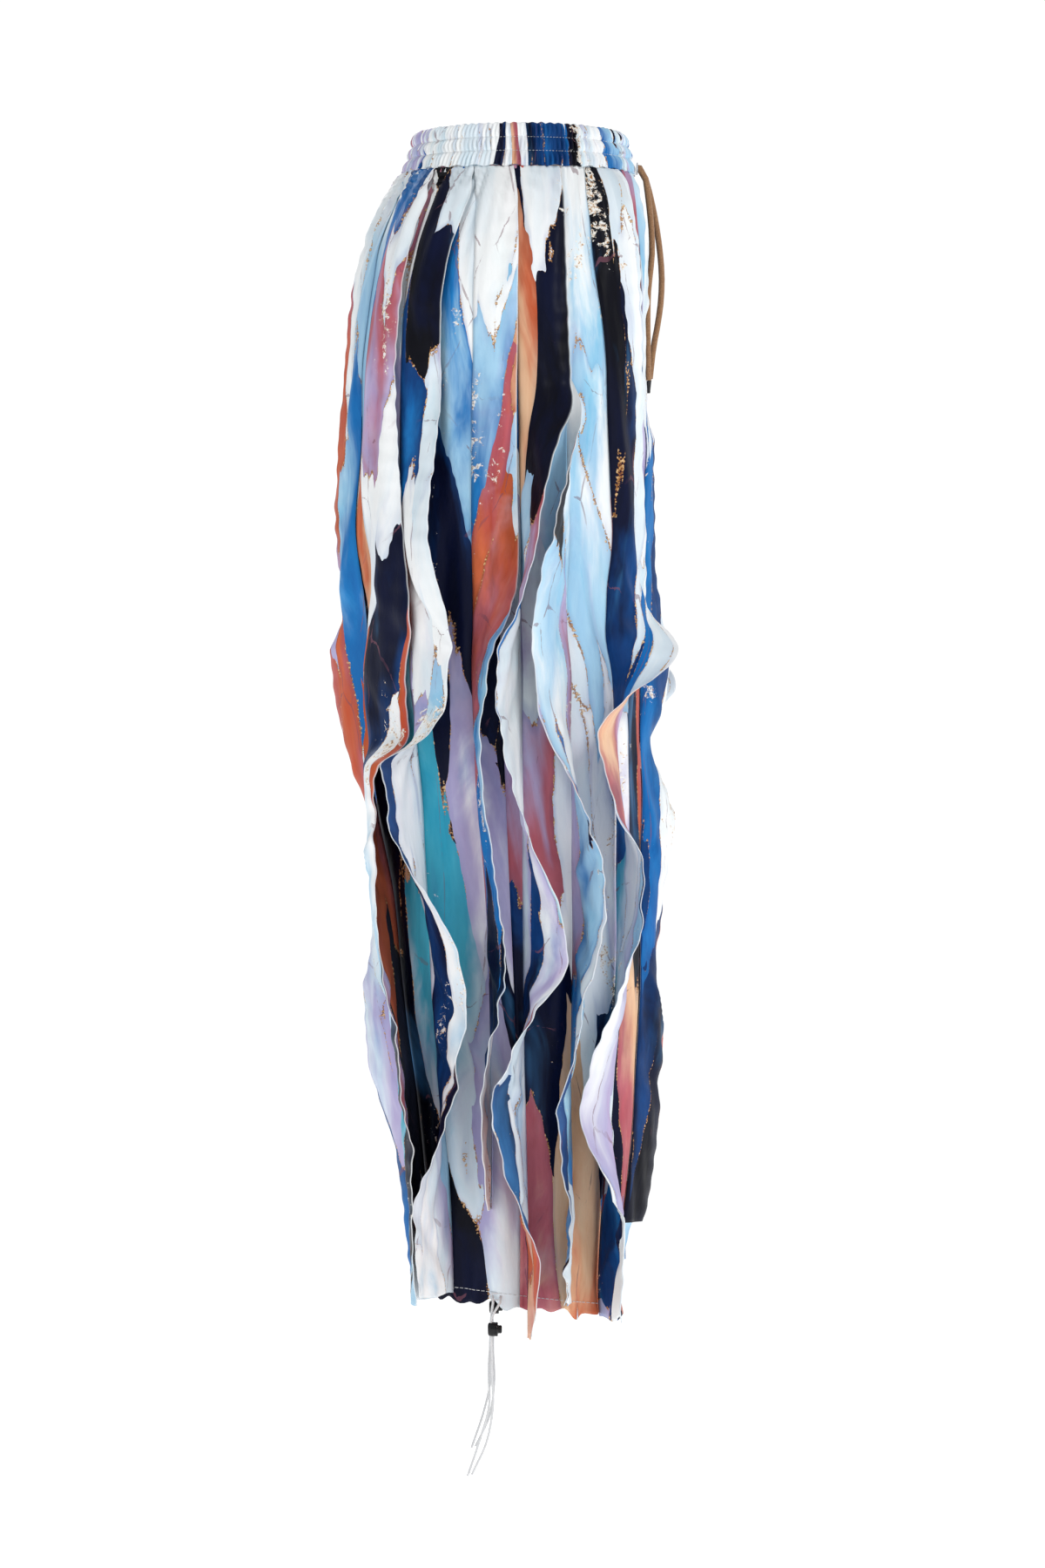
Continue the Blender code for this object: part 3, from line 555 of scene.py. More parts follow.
def by_cord_ends(z):
    """1 at the heights where the drawstring's ends lie on the cloth."""
    return np.clip((z - CORD_END) / CORD_FADE, 0, 1) * np.clip((CORD_TOP - z) / CORD_FADE, 0, 1)


QUARTER = 0.30                     # metres of cloth to one panel, for its folds and its print
FOLD_SEEDS = {-1: 11, 1: 47}       # right leg, left leg
GATHER, DRAPE, SMALL, DRAWN = 0.0044, 0.0042, 0.0012, 0.0060       # heights of the folds, in metres
GATHER_FADE, DRAWN_FADE = 0.050, 0.042                             # metres over which they die out
PRESSED_LOW, PRESSED_HIGH = -0.0014, 0.0008                        # what the waist seam lets stand


def folds(a, z, seed):
    """Height of the cloth's folds over the form, in metres."""
    place = np.asarray(a) * QUARTER
    v = (Z_WAIST - z) / (Z_WAIST - Z_HEM)
    waist = np.exp(-np.clip(Z_WAIST - z, 0, 1) / GATHER_FADE)
    hem = np.exp(-np.clip(z - (Z_HEM - 0.008), 0, 1) / DRAWN_FADE)
    gathers = GATHER * waist * waves(place, z, (0.0098, 0.0143, 0.0216), seed, 0.02, 0.12)
    middle = np.clip(v * 6, 0, 1)
    drapes = DRAPE * middle * waves(place, z, (0.046, 0.071, 0.117), seed + 1, 0.10, 0.45)
    small = SMALL * waves(place, z, (0.021, 0.033), seed + 2, -0.08, 0.16)
    drawn = DRAWN * hem * waves(place, z, (0.021, 0.030, 0.047), seed + 3)
    # nothing moves at the centre seams, where the two halves meet, nor under the waist drawstring
    in_front = np.asarray(a) <= 1
    t = np.where(in_front, a, 2 - np.asarray(a))
    under_cord = np.clip((z - CORD_END) / CORD_FADE, 0, 1) * in_front
    hold = np.clip((t - 0.10 * under_cord) / (0.06 + 0.08 * under_cord), 0, 1)
    calm = 1 - 0.85 * by_cord_ends(z) * np.clip((0.62 - t) / 0.12, 0, 1) * in_front
    lift = (gathers + drapes + small + drawn - 0.0006) * hold * calm
    # in the waist seam the gathers are pressed between the band's two layers
    sewn = np.clip(1 - (Z_WAIST - z) / 0.0040, 0, 1)
    return lift * (1 - sewn) + np.clip(lift, PRESSED_LOW, PRESSED_HIGH) * sewn


sample = folds(np.linspace(0, 2, 200), np.full(200, -0.5), FOLD_SEEDS[-1])
print("folds at mid leg", round(float(sample.min()), 4), "to", round(float(sample.max()), 4), "m")

# %% [markdown]
# ## From grids of points to cloth
#
# Every piece of cloth here is a closed thin shell: a grid of points for the
# outside, a second grid for the inside, and a rim between them. One helper
# turns the two grids into a mesh with a UV map in metres of cloth, and with
# marks on its points for the back of the cloth and for a rolled hem.


# %% Shell from two grids
def shell(name, outer, inner, uv, material, start, hem=None, both_printed=False, ring=False):
    """Closed shell from grids of rows by columns of points. With ring, the
    columns close on themselves. start is the place of its top on the print."""
    rows, cols = outer.shape[:2]
    count = rows * cols
    grid = np.arange(count).reshape(rows, cols)
    if ring:
        grid = np.concatenate([grid, grid[:, :1]], axis=1)
    a, b = grid[:-1, :-1].ravel(), grid[:-1, 1:].ravel()
    c, d = grid[1:, 1:].ravel(), grid[1:, :-1].ravel()
    faces = [np.stack([a, b, c, d], 1), np.stack([a, d, c, b], 1) + count]
    edges = [(grid[0, :], False), (grid[-1, :], True)]
    if not ring:
        edges += [(grid[:, 0], True), (grid[:, -1], False)]
    for line, flip in edges:
        p, q = line[:-1], line[1:]
        quad = np.stack([q, p, p + count, q + count], 1)
        faces.append(quad[:, ::-1] if flip else quad)
    faces = np.concatenate(faces)
    points = np.concatenate([outer.reshape(-1, 3), inner.reshape(-1, 3)])
    mesh = bpy.data.meshes.new(name)
    mesh.vertices.add(len(points))
    mesh.vertices.foreach_set("co", points.ravel())
    mesh.loops.add(faces.size)
    mesh.loops.foreach_set("vertex_index", faces.ravel())
    mesh.polygons.add(len(faces))
    mesh.polygons.foreach_set("loop_start", np.arange(0, faces.size, 4))
    mesh.update(calc_edges=True)
    flat = np.concatenate([uv.reshape(-1, 2)] * 2)
    if ring:      # the last column's faces run on past the seam
        width = uv[0, -1, 0] - uv[0, 0, 0]
        width *= cols / (cols - 1)
    loops = flat[faces].reshape(-1, 4, 2)
    if ring:
        wrap = (loops[:, :, 0].max(1) - loops[:, :, 0].min(1)) > width / 2
        low = loops[:, :, 0] < loops[:, :, 0].max(1, keepdims=True) - width / 2
        loops[:, :, 0] += np.where(wrap[:, None] & low, width, 0)
    layer = mesh.uv_layers.new(name="cloth")
    layer.data.foreach_set("uv", loops.reshape(-1))
    marks = {"back": np.concatenate([np.zeros(count), np.ones(count) * (not both_printed)]),
             "hem": np.zeros(2 * count) if hem is None else np.concatenate([hem.ravel()] * 2),
             "start": np.full(2 * count, start)}
    for label, values in marks.items():
        mark = mesh.attributes.new(label, "FLOAT", "POINT")
        mark.data.foreach_set("value", values.astype(np.float32))
    mesh.materials.append(material)
    work = bmesh.new()
    work.from_mesh(mesh)
    if work.calc_volume(signed=True) < 0:
        bmesh.ops.reverse_faces(work, faces=work.faces)
    work.to_mesh(mesh)
    work.free()
    mesh.polygons.foreach_set("use_smooth", np.ones(len(mesh.polygons), bool))
    made = bpy.data.objects.new(name, mesh)
    bpy.context.scene.collection.objects.link(made)
    return made


SIDES = {"R": -1, "L": 1}


def to_side(points, side):
    """Points are made for the right leg (-1); the left (+1) is mirrored."""
    return points * np.array([-side, 1, 1]) if side > 0 else points


# %% [markdown]
# ## Leg panels
#
# Each leg has a front and a back panel, joined at the side seam and the
# inseam, and the two legs join along the centre front and back. A panel is
# the form plus the folds, with cloth 0.7 mm thick. Its hem edge waves a
# little where the cord gathers it. A cloth simulation could drape it too,
# but gathers that follow a formula meet the band and the strips exactly.

# %% Leg panels
PANEL_WALL = 0.0007
SEAM_RISE = 0.0008       # the top edge meets the band
SEAM_ROWS = [0, 0.0008, 0.0020, 0.0035]      # close rows of points, in shares of the panel's height
HEM_LIFT = 0.0046        # the hem's edge waves where the cord gathers it
HALVES = {"front": (0.0, 1.0), "back": (1.0, 2.0)}
CUT_ACROSS, CUT_ALONG = 8.3, 2.3             # where on the endless print the cutting starts
NEXT_CUT, ALONG_SHARE = 0.37, 2.3            # each panel is cut further on
pieces = {}
for letter, side in SIDES.items():
    seed = FOLD_SEEDS[side]
    for half, (a_from, a_to) in HALVES.items():
        shares = np.concatenate([SEAM_ROWS, np.linspace(0.005, 0.93, 166), np.linspace(0.934, 1, 24)])
        places = np.linspace(a_from, a_to, 97)
        A, V = np.meshgrid(places, shares)
        Z = height_at(A, V) + SEAM_RISE * (V == 0)
        spot, normal, _ = on_form(A, Z)
        lift = folds(A, Z, seed)
        outer = np.concatenate([spot + normal * lift[..., None], Z[..., None]], -1)
        edge = np.clip((V - 0.97) / 0.03, 0, 1)
        outer[..., 2] += edge * HEM_LIFT * waves(A * QUARTER, 0 * Z, (0.024, 0.037, 0.061), seed + 5)
        inner = outer.copy()
        inner[..., :2] -= normal * PANEL_WALL
        start = NEXT_CUT * (1 + len(pieces))
        start_along = start * ALONG_SHARE + CUT_ALONG
        uv = np.stack([A * QUARTER + (start + CUT_ACROSS), -Z + start_along], -1)
        name = f"leg_{half}_{letter}"
        faces = to_side(outer, side), to_side(inner, side)
        pieces[name] = shell(name + "_cloth", *faces, uv, PRINT, start_along)
        print(name, len(pieces[name].data.polygons), "faces")

# %% [markdown]
# ## Strips
#
# Ten strips on each leg are sewn by one edge only. Two tables give, for a
# row of heights, where each strip is sewn and how far it leans from straight
# out, towards the front or the back. Where the lean swings over, the strip
# shows its other face and its free edge waves. Tables suit this better than
# a formula, because each strip was caught in its own place. A third table
# has the strips' widths and where each begins and ends.

# %% Strip tables
# height, then where strips 1 to 10 are sewn
SEAM = np.array([
    [-0.0374, .120, .265, .693, .828, 1.039, 1.205, 1.423, 1.640, 1.700, 1.75],
    [-0.0695, .160, .275, .681, .812, 0.996, 1.142, 1.360, 1.570, 1.630, 1.75],
    [-0.1218, .200, .300, .665, .801, 0.966, 1.103, 1.358, 1.535, 1.595, 1.75],
    [-0.2189, .220, .340, .628, .784, 0.939, 1.078, 1.331, 1.500, 1.550, 1.75],
    [-0.3384, .240, .410, .631, .785, 0.932, 1.077, 1.305, 1.465, 1.510, 1.75],
    [-0.4579, .270, .500, .699, .825, 0.946, 1.071, 1.237, 1.410, 1.465, 1.74],
    [-0.5700, .280, .500, .692, .829, 0.956, 1.073, 1.222, 1.415, 1.480, 1.73],
    [-0.6745, .280, .510, .696, .836, 0.967, 1.065, 1.224, 1.362, 1.420, 1.72],
    [-0.8464, .290, .550, .689, .840, 0.979, 1.080, 1.231, 1.334, 1.377, 1.71],
    [-1.0185, .290, .580, .711, .845, 0.974, 1.101, 1.227, 1.333, 1.377, 1.71]])
# height, then each strip's lean from straight out in degrees, + towards the front
LEAN = np.array([
    [-0.0374, 84, 86, 74, 60, 83, 74, 83, 83, -86, -84],
    [-0.0695, 84, 86, 74, 60, 83, 74, 83, 83, -86, -84],
    [-0.1068, 84, 86, 74, 60, 83, 78, 83, 83, -82, -84],
    [-0.1591, 84, 86, 76, 50, 83, 82, 83, 83, -82, -84],
    [-0.2189, 84, 86, 83, 55, 80, 82, 83, 83, -77, -84],
    [-0.2786, 84, 86, 83, -8, 30, 82, 66, 82, -70, -84],
    [-0.3384, 83, 85, 83, -28, 12, 82, 50, 76, -70, -83],
    [-0.3832, 82, 82, 83, -38, 5, 70, 44, 72, -72, -82],
    [-0.4235, 80, 73, 72, -43, -7, 48, 47, 70, -81, -80],
    [-0.4579, 76, 52, 22, -49, -23, 25, 53, 79, -58, -76],
    [-0.4953, 74, 52, -26, -48, -25, 17, 49, 83, -55, -74],
    [-0.5289, 79, 70, -46, -35, -19, 11, 30, 83, -57, -78],
    [-0.5588, 82, 55, -40, -19, -13, 11, -2, 51, -64, -82],
    [-0.5961, 78, 41, -31, -3, -4, 12, -1, 47, -79, -79],
    [-0.6335, 74, 48, -14, 9, 9, 16, 6, 38, -80, -74],
    [-0.6745, 72, 59, -12, 12, 26, 18, 23, 30, -81, -72],
    [-0.7194, 76, 68, -23, 4, 33, 22, 39, 27, -71, -75],
    [-0.7567, 80, 59, -33, -4, 14, 18, 43, 26, -60, -80],
    [-0.8015, 78, 53, -49, -13, -13, 5, 34, 27, -56, -78],
    [-0.8464, 74, 54, -58, -23, -28, -3, 26, 26, -63, -74],
    [-0.8912, 72, 57, -39, -21, -19, -1, 14, 27, -77, -72],
    [-0.9360, 76, 64, -21, -13, -6, 4, 1, 26, -85, -76],
    [-0.9808, 80, 74, -18, -13, 7, 8, 0, 25, -84, -80],
    [-1.0185, 82, 84, -17, -15, 6, 12, 2, 25, -85, -82]], float)
# strip, width at the waist, width low down, first and last row of the lean table, tail
STRIPS = [
    (1, 0.040, 0.044, 12, 22, 0.000), (2, 0.030, 0.052, 0, 21, 0.004),
    (3, 0.050, 0.054, 0, 23, 0.002), (4, 0.046, 0.048, 4, 23, -0.008),
    (5, 0.044, 0.052, 0, 23, 0.026), (6, 0.038, 0.042, 0, 21, 0.000),
    (7, 0.044, 0.055, 0, 23, -0.004), (8, 0.046, 0.066, 0, 23, 0.003),
    (9, 0.042, 0.048, 0, 23, -0.003), (10, 0.040, 0.044, 13, 22, 0.000)]
BEND = 30.0          # degrees a strip bends over its own width
STRIP_WALL = 0.0006
print("strips on a leg", len(STRIPS))

# %% [markdown]
# ## Making one strip
#
# A strip is a grid of points: rows down its sewn edge, columns across its
# width. For every row the lean gives the turn of the cloth at the seam, and
# the cloth bends a little more over its own width, the free edge trailing
# as the strip swings over. Real strips also buckle where they turn, so each
# gets six slanting creases from its own random seed. Built as a function,
# the same code makes all twenty, and the left leg's wave in other places.


# %% Lean and width of a strip
UPRIGHT_FROM = 8         # row of the lean table below which strips stand up
LONG_TAIL = 0.01
WIDENS = (0.219, 0.424)  # metres below the waist between which a strip widens


def lean_table(number, side):
    """A strip's leans by row; the left leg's wave 30 mm lower and less."""
    z, values = LEAN[:, 0], LEAN[:, number].copy()
    if side > 0:
        if number == 2:
            values = np.minimum(values + 12, 86)
        elif number == 9:
            values = np.maximum(values - 10, -86)
        elif number in (1, 10):
            values = np.concatenate([values[:1], values[:1], values[:-2]])
        else:
            less = np.where(np.arange(len(z)) > UPRIGHT_FROM, 0.92, 1.0)
            values = ease(z, LEAN[:, number], z + 0.030) * less
    return np.clip(values, -82, 84)


def into_tail(z, last):
    """0 at the row before a strip's last, 1 at its end."""
    rows = LEAN[:, 0]
    return np.clip((rows[last - 1] - z) / (rows[last - 1] - rows[last]), 0, 1)


def strip_width(z, top_width, low_width, first, last, tail):
    """Width by height, wider low down."""
    rows = LEAN[:, 0]
    width = np.interp(-z, WIDENS, [top_width, low_width])
    if first > 0:                # tapers in at its top
        grow = (rows[first] - z) / (rows[first] - rows[first + 3])
        width = width * (0.05 + 0.95 * np.sin(np.clip(grow, 0, 1) * math.pi / 2) ** 0.9)
    if tail > LONG_TAIL:         # a tail that hangs past the hem narrows to a rounded tip
        width = width * (1 - 0.62 * into_tail(z, last) ** 2)
    return width


def strip_creases(Z, U, width, stands, seed):
    """Faint waves, and six sharp slanting creases where the strip buckles."""
    crease = 0.0016 * np.sin(np.pi * U) * stands * waves(U * width, Z, (0.021, 0.034), seed + 1, 0.30, 0.12)
    rng = np.random.default_rng(seed + 5)
    for place in np.linspace(-0.42, -0.94, 6) + rng.uniform(-0.03, 0.03, 6):
        slope = rng.choice([-1, 1]) * rng.uniform(0.5, 1.5)
        depth = rng.choice([-1, 1]) * rng.uniform(0.0018, 0.0050)
        half = rng.uniform(0.010, 0.022)
        off = np.abs(Z - place - slope * (U - 0.5) * width) / half
        crease = crease + depth * np.clip(1 - off, 0, 1) * stands * np.clip(U * 3, 0, 1)
    return crease


# %% [markdown]
# ## A strip's two faces
#
# The turn of the cloth is added up across the strip, as a carpenter would lay
# short straight pieces end to end, which keeps its width true however it
# curls. The points are then set on the leg's form along its normals. Half a
# wall to each side of that middle sheet gives the printed and plain face,
# a little thicker in the rolled hem.

# %% Strip cloth
ACROSS = np.concatenate([np.linspace(0, 0.9, 13), [0.94, 0.965, 0.982, 1.0]])       # shares of the width
HEM_FROM, HEM_WALL = 0.975, 0.0010
ROW_STEP = 0.0029
RIPPLE, END_WAVE = 0.0011, 0.0030


def strip_cloth(number, side, top_width, low_width, first, last, tail):
    """The strip's two faces, its place on the print, its hem marks, width and heights."""
    seed = 100 + number * 7 + (side > 0) * 3
    z_row = LEAN[:, 0]
    rows = int(20 + (z_row[first] - z_row[last]) / ROW_STEP)
    z = np.linspace(z_row[first], z_row[last], rows)
    seam = ease(SEAM[:, 0], SEAM[:, number], z)
    v = np.clip((z - Z_WAIST) / (Z_HEM - Z_WAIST), 0, 1)
    z_true = height_at(seam, v)
    lean = ease(z_row, lean_table(number, side), z)
    width = strip_width(z, top_width, low_width, first, last, tail)
    u = ACROSS
    middle = (u[1:] + u[:-1]) / 2
    uneven = waves(0 * z, z, (0.19, 0.31), seed + 3, 1.0, 0.5)
    swing = (np.sign(lean) * BEND + 14 * uneven) * np.abs(np.sin(np.radians(lean)))
    lag = np.gradient(lean, z) * -0.0045          # the free edge trails the seam as the strip turns
    turn = lean[:, None] + (swing + np.clip(lag, -22, 22))[:, None] * (middle - 0.5)[None, :]
    turn = np.radians(np.clip(turn, -88, 88))
    step = width[:, None] * np.diff(u)[None, :]
    zero = np.zeros((rows, 1))
    along = np.concatenate([zero, np.cumsum(np.sin(turn) * step, 1)], 1)
    out = np.concatenate([zero, np.cumsum(np.cos(turn) * step, 1)], 1) + 0.0010
    if first == 0:       # sewn flat into the waist seam
        out = out * (1 - 0.88 * np.exp(-(Z_WAIST - z) / 0.014))[:, None]
    if number == 2:
        out = out * (1 - 0.6 * by_cord_ends(z))[:, None]
    a = seam[:, None] - along / on_form(seam, z_true)[2][:, None]
    Z = np.repeat(z_true[:, None], len(u), 1)
    field = folds(a, Z, FOLD_SEEDS[side]) * np.clip(1.25 - out / 0.045, 0.25, 1)
    field = field * np.where((number == 2) & (Z > -0.26), 0.35, 1.0)
    spot, normal, _ = on_form(a, Z)
    turn_at = np.concatenate([turn[:, :1], (turn[:, 1:] + turn[:, :-1]) / 2, turn[:, -1:]], 1)[..., None]
    tangent = np.stack([normal[..., 1], -normal[..., 0]], -1)     # towards the front
    towards = on_form(a - 0.02, Z)[0] - spot
    tangent = tangent * np.where((tangent * towards).sum(-1, keepdims=True) < 0, -1, 1)
    face = tangent * np.cos(turn_at) - normal * np.sin(turn_at)
    U = u[None, :]
    ripple = RIPPLE * U**2 * waves(0 * Z, Z, (0.017, 0.026, 0.041), seed, 1.0, 0.3)
    stands = np.cos(np.radians(lean))[:, None] ** 0.5
    crease = strip_creases(Z, U, width[:, None], stands, seed)
    wall = np.where(u > HEM_FROM, HEM_WALL, STRIP_WALL)[None, :, None] / 2
    wall = wall * np.where(u == 1.0, 0.6, 1.0)[None, :, None]
    base = spot + normal * (out + field)[..., None] + face * (ripple + crease)[..., None]
    drop = tail * into_tail(z, last) ** 1.5
    drop = drop[:, None] * (1 - 0.25 * (2 * U - 1) ** 2) if tail > LONG_TAIL else drop[:, None]
    at_end = np.clip((v[:, None] - 0.96) / 0.04, 0, 1)
    Z = Z - drop - END_WAVE * at_end * waves(U * 0.05, 0 * Z, (0.035, 0.07), seed + 2)
    one = np.concatenate([base + face * wall, Z[..., None]], -1)
    two = np.concatenate([base - face * wall, Z[..., None]], -1)
    start_across = CUT_ACROSS + 0.61 * number + (side > 0) * 0.29
    start_along = CUT_ALONG + 0.83 * number + (side > 0) * 1.7
    down_strip = np.broadcast_to(-z[:, None], Z.shape) + start_along
    uv = np.stack([U * width[:, None] + start_across, down_strip], -1)
    from_edge = width[:, None] * (1 - U)
    hem = np.clip(1.6 - from_edge / 0.0006, 0, 1)
    return one, two, uv, start_along, hem, width, z


# %% [markdown]
# ## All twenty strips
#
# A loop over both legs and the strip table makes the pieces. The printed
# face turns outwards when a strip lies towards the front, and the two
# backmost strips lie the other way. Each keeps the size of its own cut, its
# mean width by its length.

# %% Strips
BACKMOST = (9, 10)
for letter, side in SIDES.items():
    for number, top_width, low_width, first, last, tail in STRIPS:
        if number == 2 and side > 0:
            last, tail = 22, 0.0
        made = strip_cloth(number, side, top_width, low_width, first, last, tail)
        one, two, uv, start, hem, width, z = made
        name = f"strip_{number:02d}_{letter}"
        printed, plain = (one, two) if number in BACKMOST else (two, one)
        faces = to_side(printed, side), to_side(plain, side)
        piece = shell(name + "_cloth", *faces, uv, STRIP_PRINT, start, hem=hem)
        pieces[name] = piece
        piece["cut"] = (float(width.mean()), float(z[0] - z[-1] + abs(tail)))
print("strips", sum(n.startswith("strip") for n in pieces))

# %% [markdown]
# ## Waistband
#
# Three rows of elastic shirr the band into three soft tunnels with narrow
# gathers, and the gathers break at each line of stitching. The band is one
# ring of points, so that it has no seam. Its rows bulge between the lines of
# stitching and lie closer together at them, where the cloth turns sharply.

# %% Rows of the waistband
AROUND, RIDGES = 1944, 180                       # points and ridges round the band
TUNNEL_ROWS = 8
LINES = (-0.0372, -0.0243, -0.0123, 0.0002)      # waist seam, two stitch lines, top edge
LINE_OUT, BULGE = 0.0002, 0.0021
share = np.arange(AROUND) / AROUND * 4           # 0 to 4 round the band, 1 to a leg panel
band_side = np.where(share < 2, -1, 1)
band_a = np.where(share < 2, share, 4 - share)


def band_rows():
    """Columns of one value a row: height, way out, ridges' depth, tunnel."""
    rows = []
    for k in range(3):
        low, high = LINES[k], LINES[k + 1]
        for step in range(TUNNEL_ROWS + (k == 2)):
            t = 0.5 - 0.5 * math.cos(math.pi * step / TUNNEL_ROWS)
            bulge = max(math.sin(math.pi * t), 0.0) ** 0.6
            full = max(bulge, 0.8) if k == 0 and t < 0.5 else bulge      # no pinch at the waist seam
            depth = 0.65 if k == 0 and t < 0.2 else 0.25 + 0.75 * bulge
            rows.append((low + (high - low) * t, LINE_OUT + BULGE * full, depth, k + t))
    return (column[:, None] for column in np.array(rows).T)


row_z, row_out, row_ridge, row_tunnel = band_rows()
print("rows of the band", len(row_z))

# %% [markdown]
# ## Gathers of the waistband
#
# Gathers are ridges that run up the tunnels, close together but never even.
# Slow waves push them together and apart round the waist, and every tunnel
# shifts them a little, as real shirring does. A round ridge beside a narrower
# valley looks like cloth that elastic has pushed together, where a plain
# sine wave would look like a corrugated sheet.

# %% Waistband cloth
RIDGE_HIGH, VALLEY_LIMIT = 0.0019, -0.85
BAND_WALL, INNER_RIDGE = 0.0021, 0.00022
DROOP, FRONT_REACH = 0.004, 0.0985               # the top edge dips at the front and the back
FRILL_HIGH, SEAM_FRILL = 0.0007, -0.0008         # waves of the top edge and of the waist seam
A = np.broadcast_to(band_a, (len(row_z), AROUND))
Z = np.broadcast_to(row_z, A.shape)
along_band = share[None, :]
spot, normal, _ = on_form(A, Z)
rng = np.random.default_rng(5)
slow = sum(np.sin(share * math.pi / 2 * k + rng.uniform(0, 6.28)) * 0.9 / k for k in (3, 5, 8, 13))
kink = 1.1 * np.sin(row_tunnel * 2.1 + 0.7) + 0.8 * np.sin(along_band * 9 + row_tunnel * 3.0)
phase = RIDGES * along_band * math.pi / 2 + 1.4 * slow[None, :] + kink
uneven = 0.72 + 0.28 * np.sin(along_band * 31 + row_tunnel * 1.9) + 0.18 * np.sin(along_band * 77 + 2)
ridge = (2.0 * np.abs(np.sin(phase / 2)) ** 1.1 - 1.0) * uneven
lift = row_out + RIDGE_HIGH * row_ridge * np.maximum(ridge, VALLEY_LIMIT)
inset = row_out * 0.15 - BAND_WALL + INNER_RIDGE * row_ridge * ridge
droop = DROOP * (spot[..., 1] / FRONT_REACH) ** 2 * (1 + Z / 0.04)
top_wave = FRILL_HIGH * np.clip((Z + 0.006) / 0.006, 0, 1) * np.sin(phase * 0.5 + 1) * uneven
low_wave = SEAM_FRILL * np.clip((-0.031 - Z) / 0.006, 0, 1) * np.sin(phase * 0.25 + 2)
heights = (Z - droop + top_wave + low_wave)[..., None]
band_outer = np.concatenate([spot + normal * lift[..., None], heights], -1)
band_inner = np.concatenate([spot + normal * inset[..., None], heights], -1)
for grid in (band_outer, band_inner):
    grid[..., 0] *= np.where(band_side < 0, 1, -1)[None, :]
BAND_QUARTER, BAND_CUT = 0.36, 3.1               # metres of the print to a quarter, and place on it
uv = np.stack([np.broadcast_to(along_band * BAND_QUARTER, A.shape), -Z + BAND_CUT], -1)
pieces["waistband"] = shell("waistband_cloth", band_outer, band_inner, uv, BAND_PRINT, BAND_CUT,
                            both_printed=True, ring=True)
print("waistband", len(pieces["waistband"].data.polygons), "faces")

# %% [markdown]
# ## Cords
#
# The waist drawstring is a soft round cord with black sleeved ends, and it
# comes out of two worked eyelets at the front. A thinner white cord runs in
# each hem: both ends leave one worked slit, pass a cord lock and hang free.
# Each is a curve object on the same points as its CAD solid, so its length
# and its way out are the real ones. A curve with a round bevel stays round
# through every bend, which a swept mesh made by hand doesn't do by itself.

# %% Cord routes
EYE_Z = -0.0322
SLIT_Y, SLIT_Z = 0.0200, -1.0088
HOLE_Y, LOCK_TOP, LOCK_LOW, LOCK_X = 0.0247, -1.0304, -1.0428, -0.1885
DRAW_ENDS = {
    "R": [(-0.0140, -0.1022, EYE_Z), (-0.0140, -0.1048, EYE_Z - 0.0002), (-0.0152, -0.1092, -0.0400),
          (-0.0165, -0.1115, -0.0545), (-0.0180, -0.1146, -0.0840), (-0.0190, -0.1152, -0.1076),
          (-0.0200, -0.1136, -0.1240), (-0.0205, -0.1118, -0.1420), (-0.0205, -0.1113, -0.1620),
          (-0.0205, -0.1115, -0.1900), (-0.0205, -0.1120, -0.2180)],
    "L": [(0.0140, -0.1022, EYE_Z), (0.0140, -0.1048, EYE_Z - 0.0002), (0.0128, -0.1098, -0.0400),
          (0.0105, -0.1140, -0.0553), (0.0080, -0.1185, -0.0770), (0.0050, -0.1222, -0.1023),
          (0.0025, -0.1240, -0.1260), (0.0000, -0.1232, -0.1480), (-0.0025, -0.1205, -0.1680),
          (-0.0055, -0.1165, -0.1900), (-0.0080, -0.1135, -0.2160)]}
# below the lock, for the two ends of a hem cord: sideways from the lock's hole, y, z
HEM_TAILS = {
    1: [(0, 0.0262, -1.0600), (0, 0.0269, -1.0757), (-0.0006, 0.0264, -1.1026),
        (-0.0010, 0.0344, -1.1317), (-0.0008, 0.0448, -1.1623)],
    2: [(0, 0.0240, -1.0600), (0, 0.0240, -1.0757), (0.0004, 0.0230, -1.1026),
        (0.0008, 0.0285, -1.1330), (0.0008, 0.0411, -1.1610)]}


def smooth_path(knots, step):
    """Straight out for the first knot, then even points of a smooth curve."""
    first, knots = np.array(knots[:1], float), np.array(knots[1:], float)
    ends = np.vstack([2 * knots[0] - knots[1], knots, 2 * knots[-1] - knots[-2]])
    fine = []
    for i in range(1, len(ends) - 2):
        p0, p1, p2, p3 = ends[i - 1:i + 3]
        for t in np.linspace(0, 1, 24, endpoint=False):
            fine.append(0.5 * ((2 * p1) + (p2 - p0) * t + (2 * p0 - 5 * p1 + 4 * p2 - p3) * t**2
                               + (3 * p1 - p0 - 3 * p2 + p3) * t**3))
    fine.append(knots[-1])
    fine = np.array(fine)
    run = np.concatenate([[0], np.cumsum(np.linalg.norm(np.diff(fine, axis=0), axis=1))])
    want = np.linspace(0, run[-1], max(int(round(run[-1] / step)), 3) + 1)
    return np.vstack([first, np.column_stack([np.interp(want, run, fine[:, k]) for k in range(3)])])


print("drawstring knots", [len(knots) for knots in DRAW_ENDS.values()])

# %% [markdown]
# ## Cord materials
#
# Both cords are braided: pale and dark strands cross along their length. A
# noise gives the strands' colours, and small cells give their rounded backs in
# relief and in painted shade, darker where the strands meet. The drawstring is
# dull tan cotton, and the hem cord a smoother white one.


# %% Cord materials
def relief(tree, shader, height, strength, distance):
    """Small bumps on a surface, from any value that changes over it."""
    bump = node(tree, "ShaderNodeBump", {"Height": height, "Strength": strength, "Distance": distance})
    tree.links.new(bump.outputs[0], shader.inputs["Normal"])


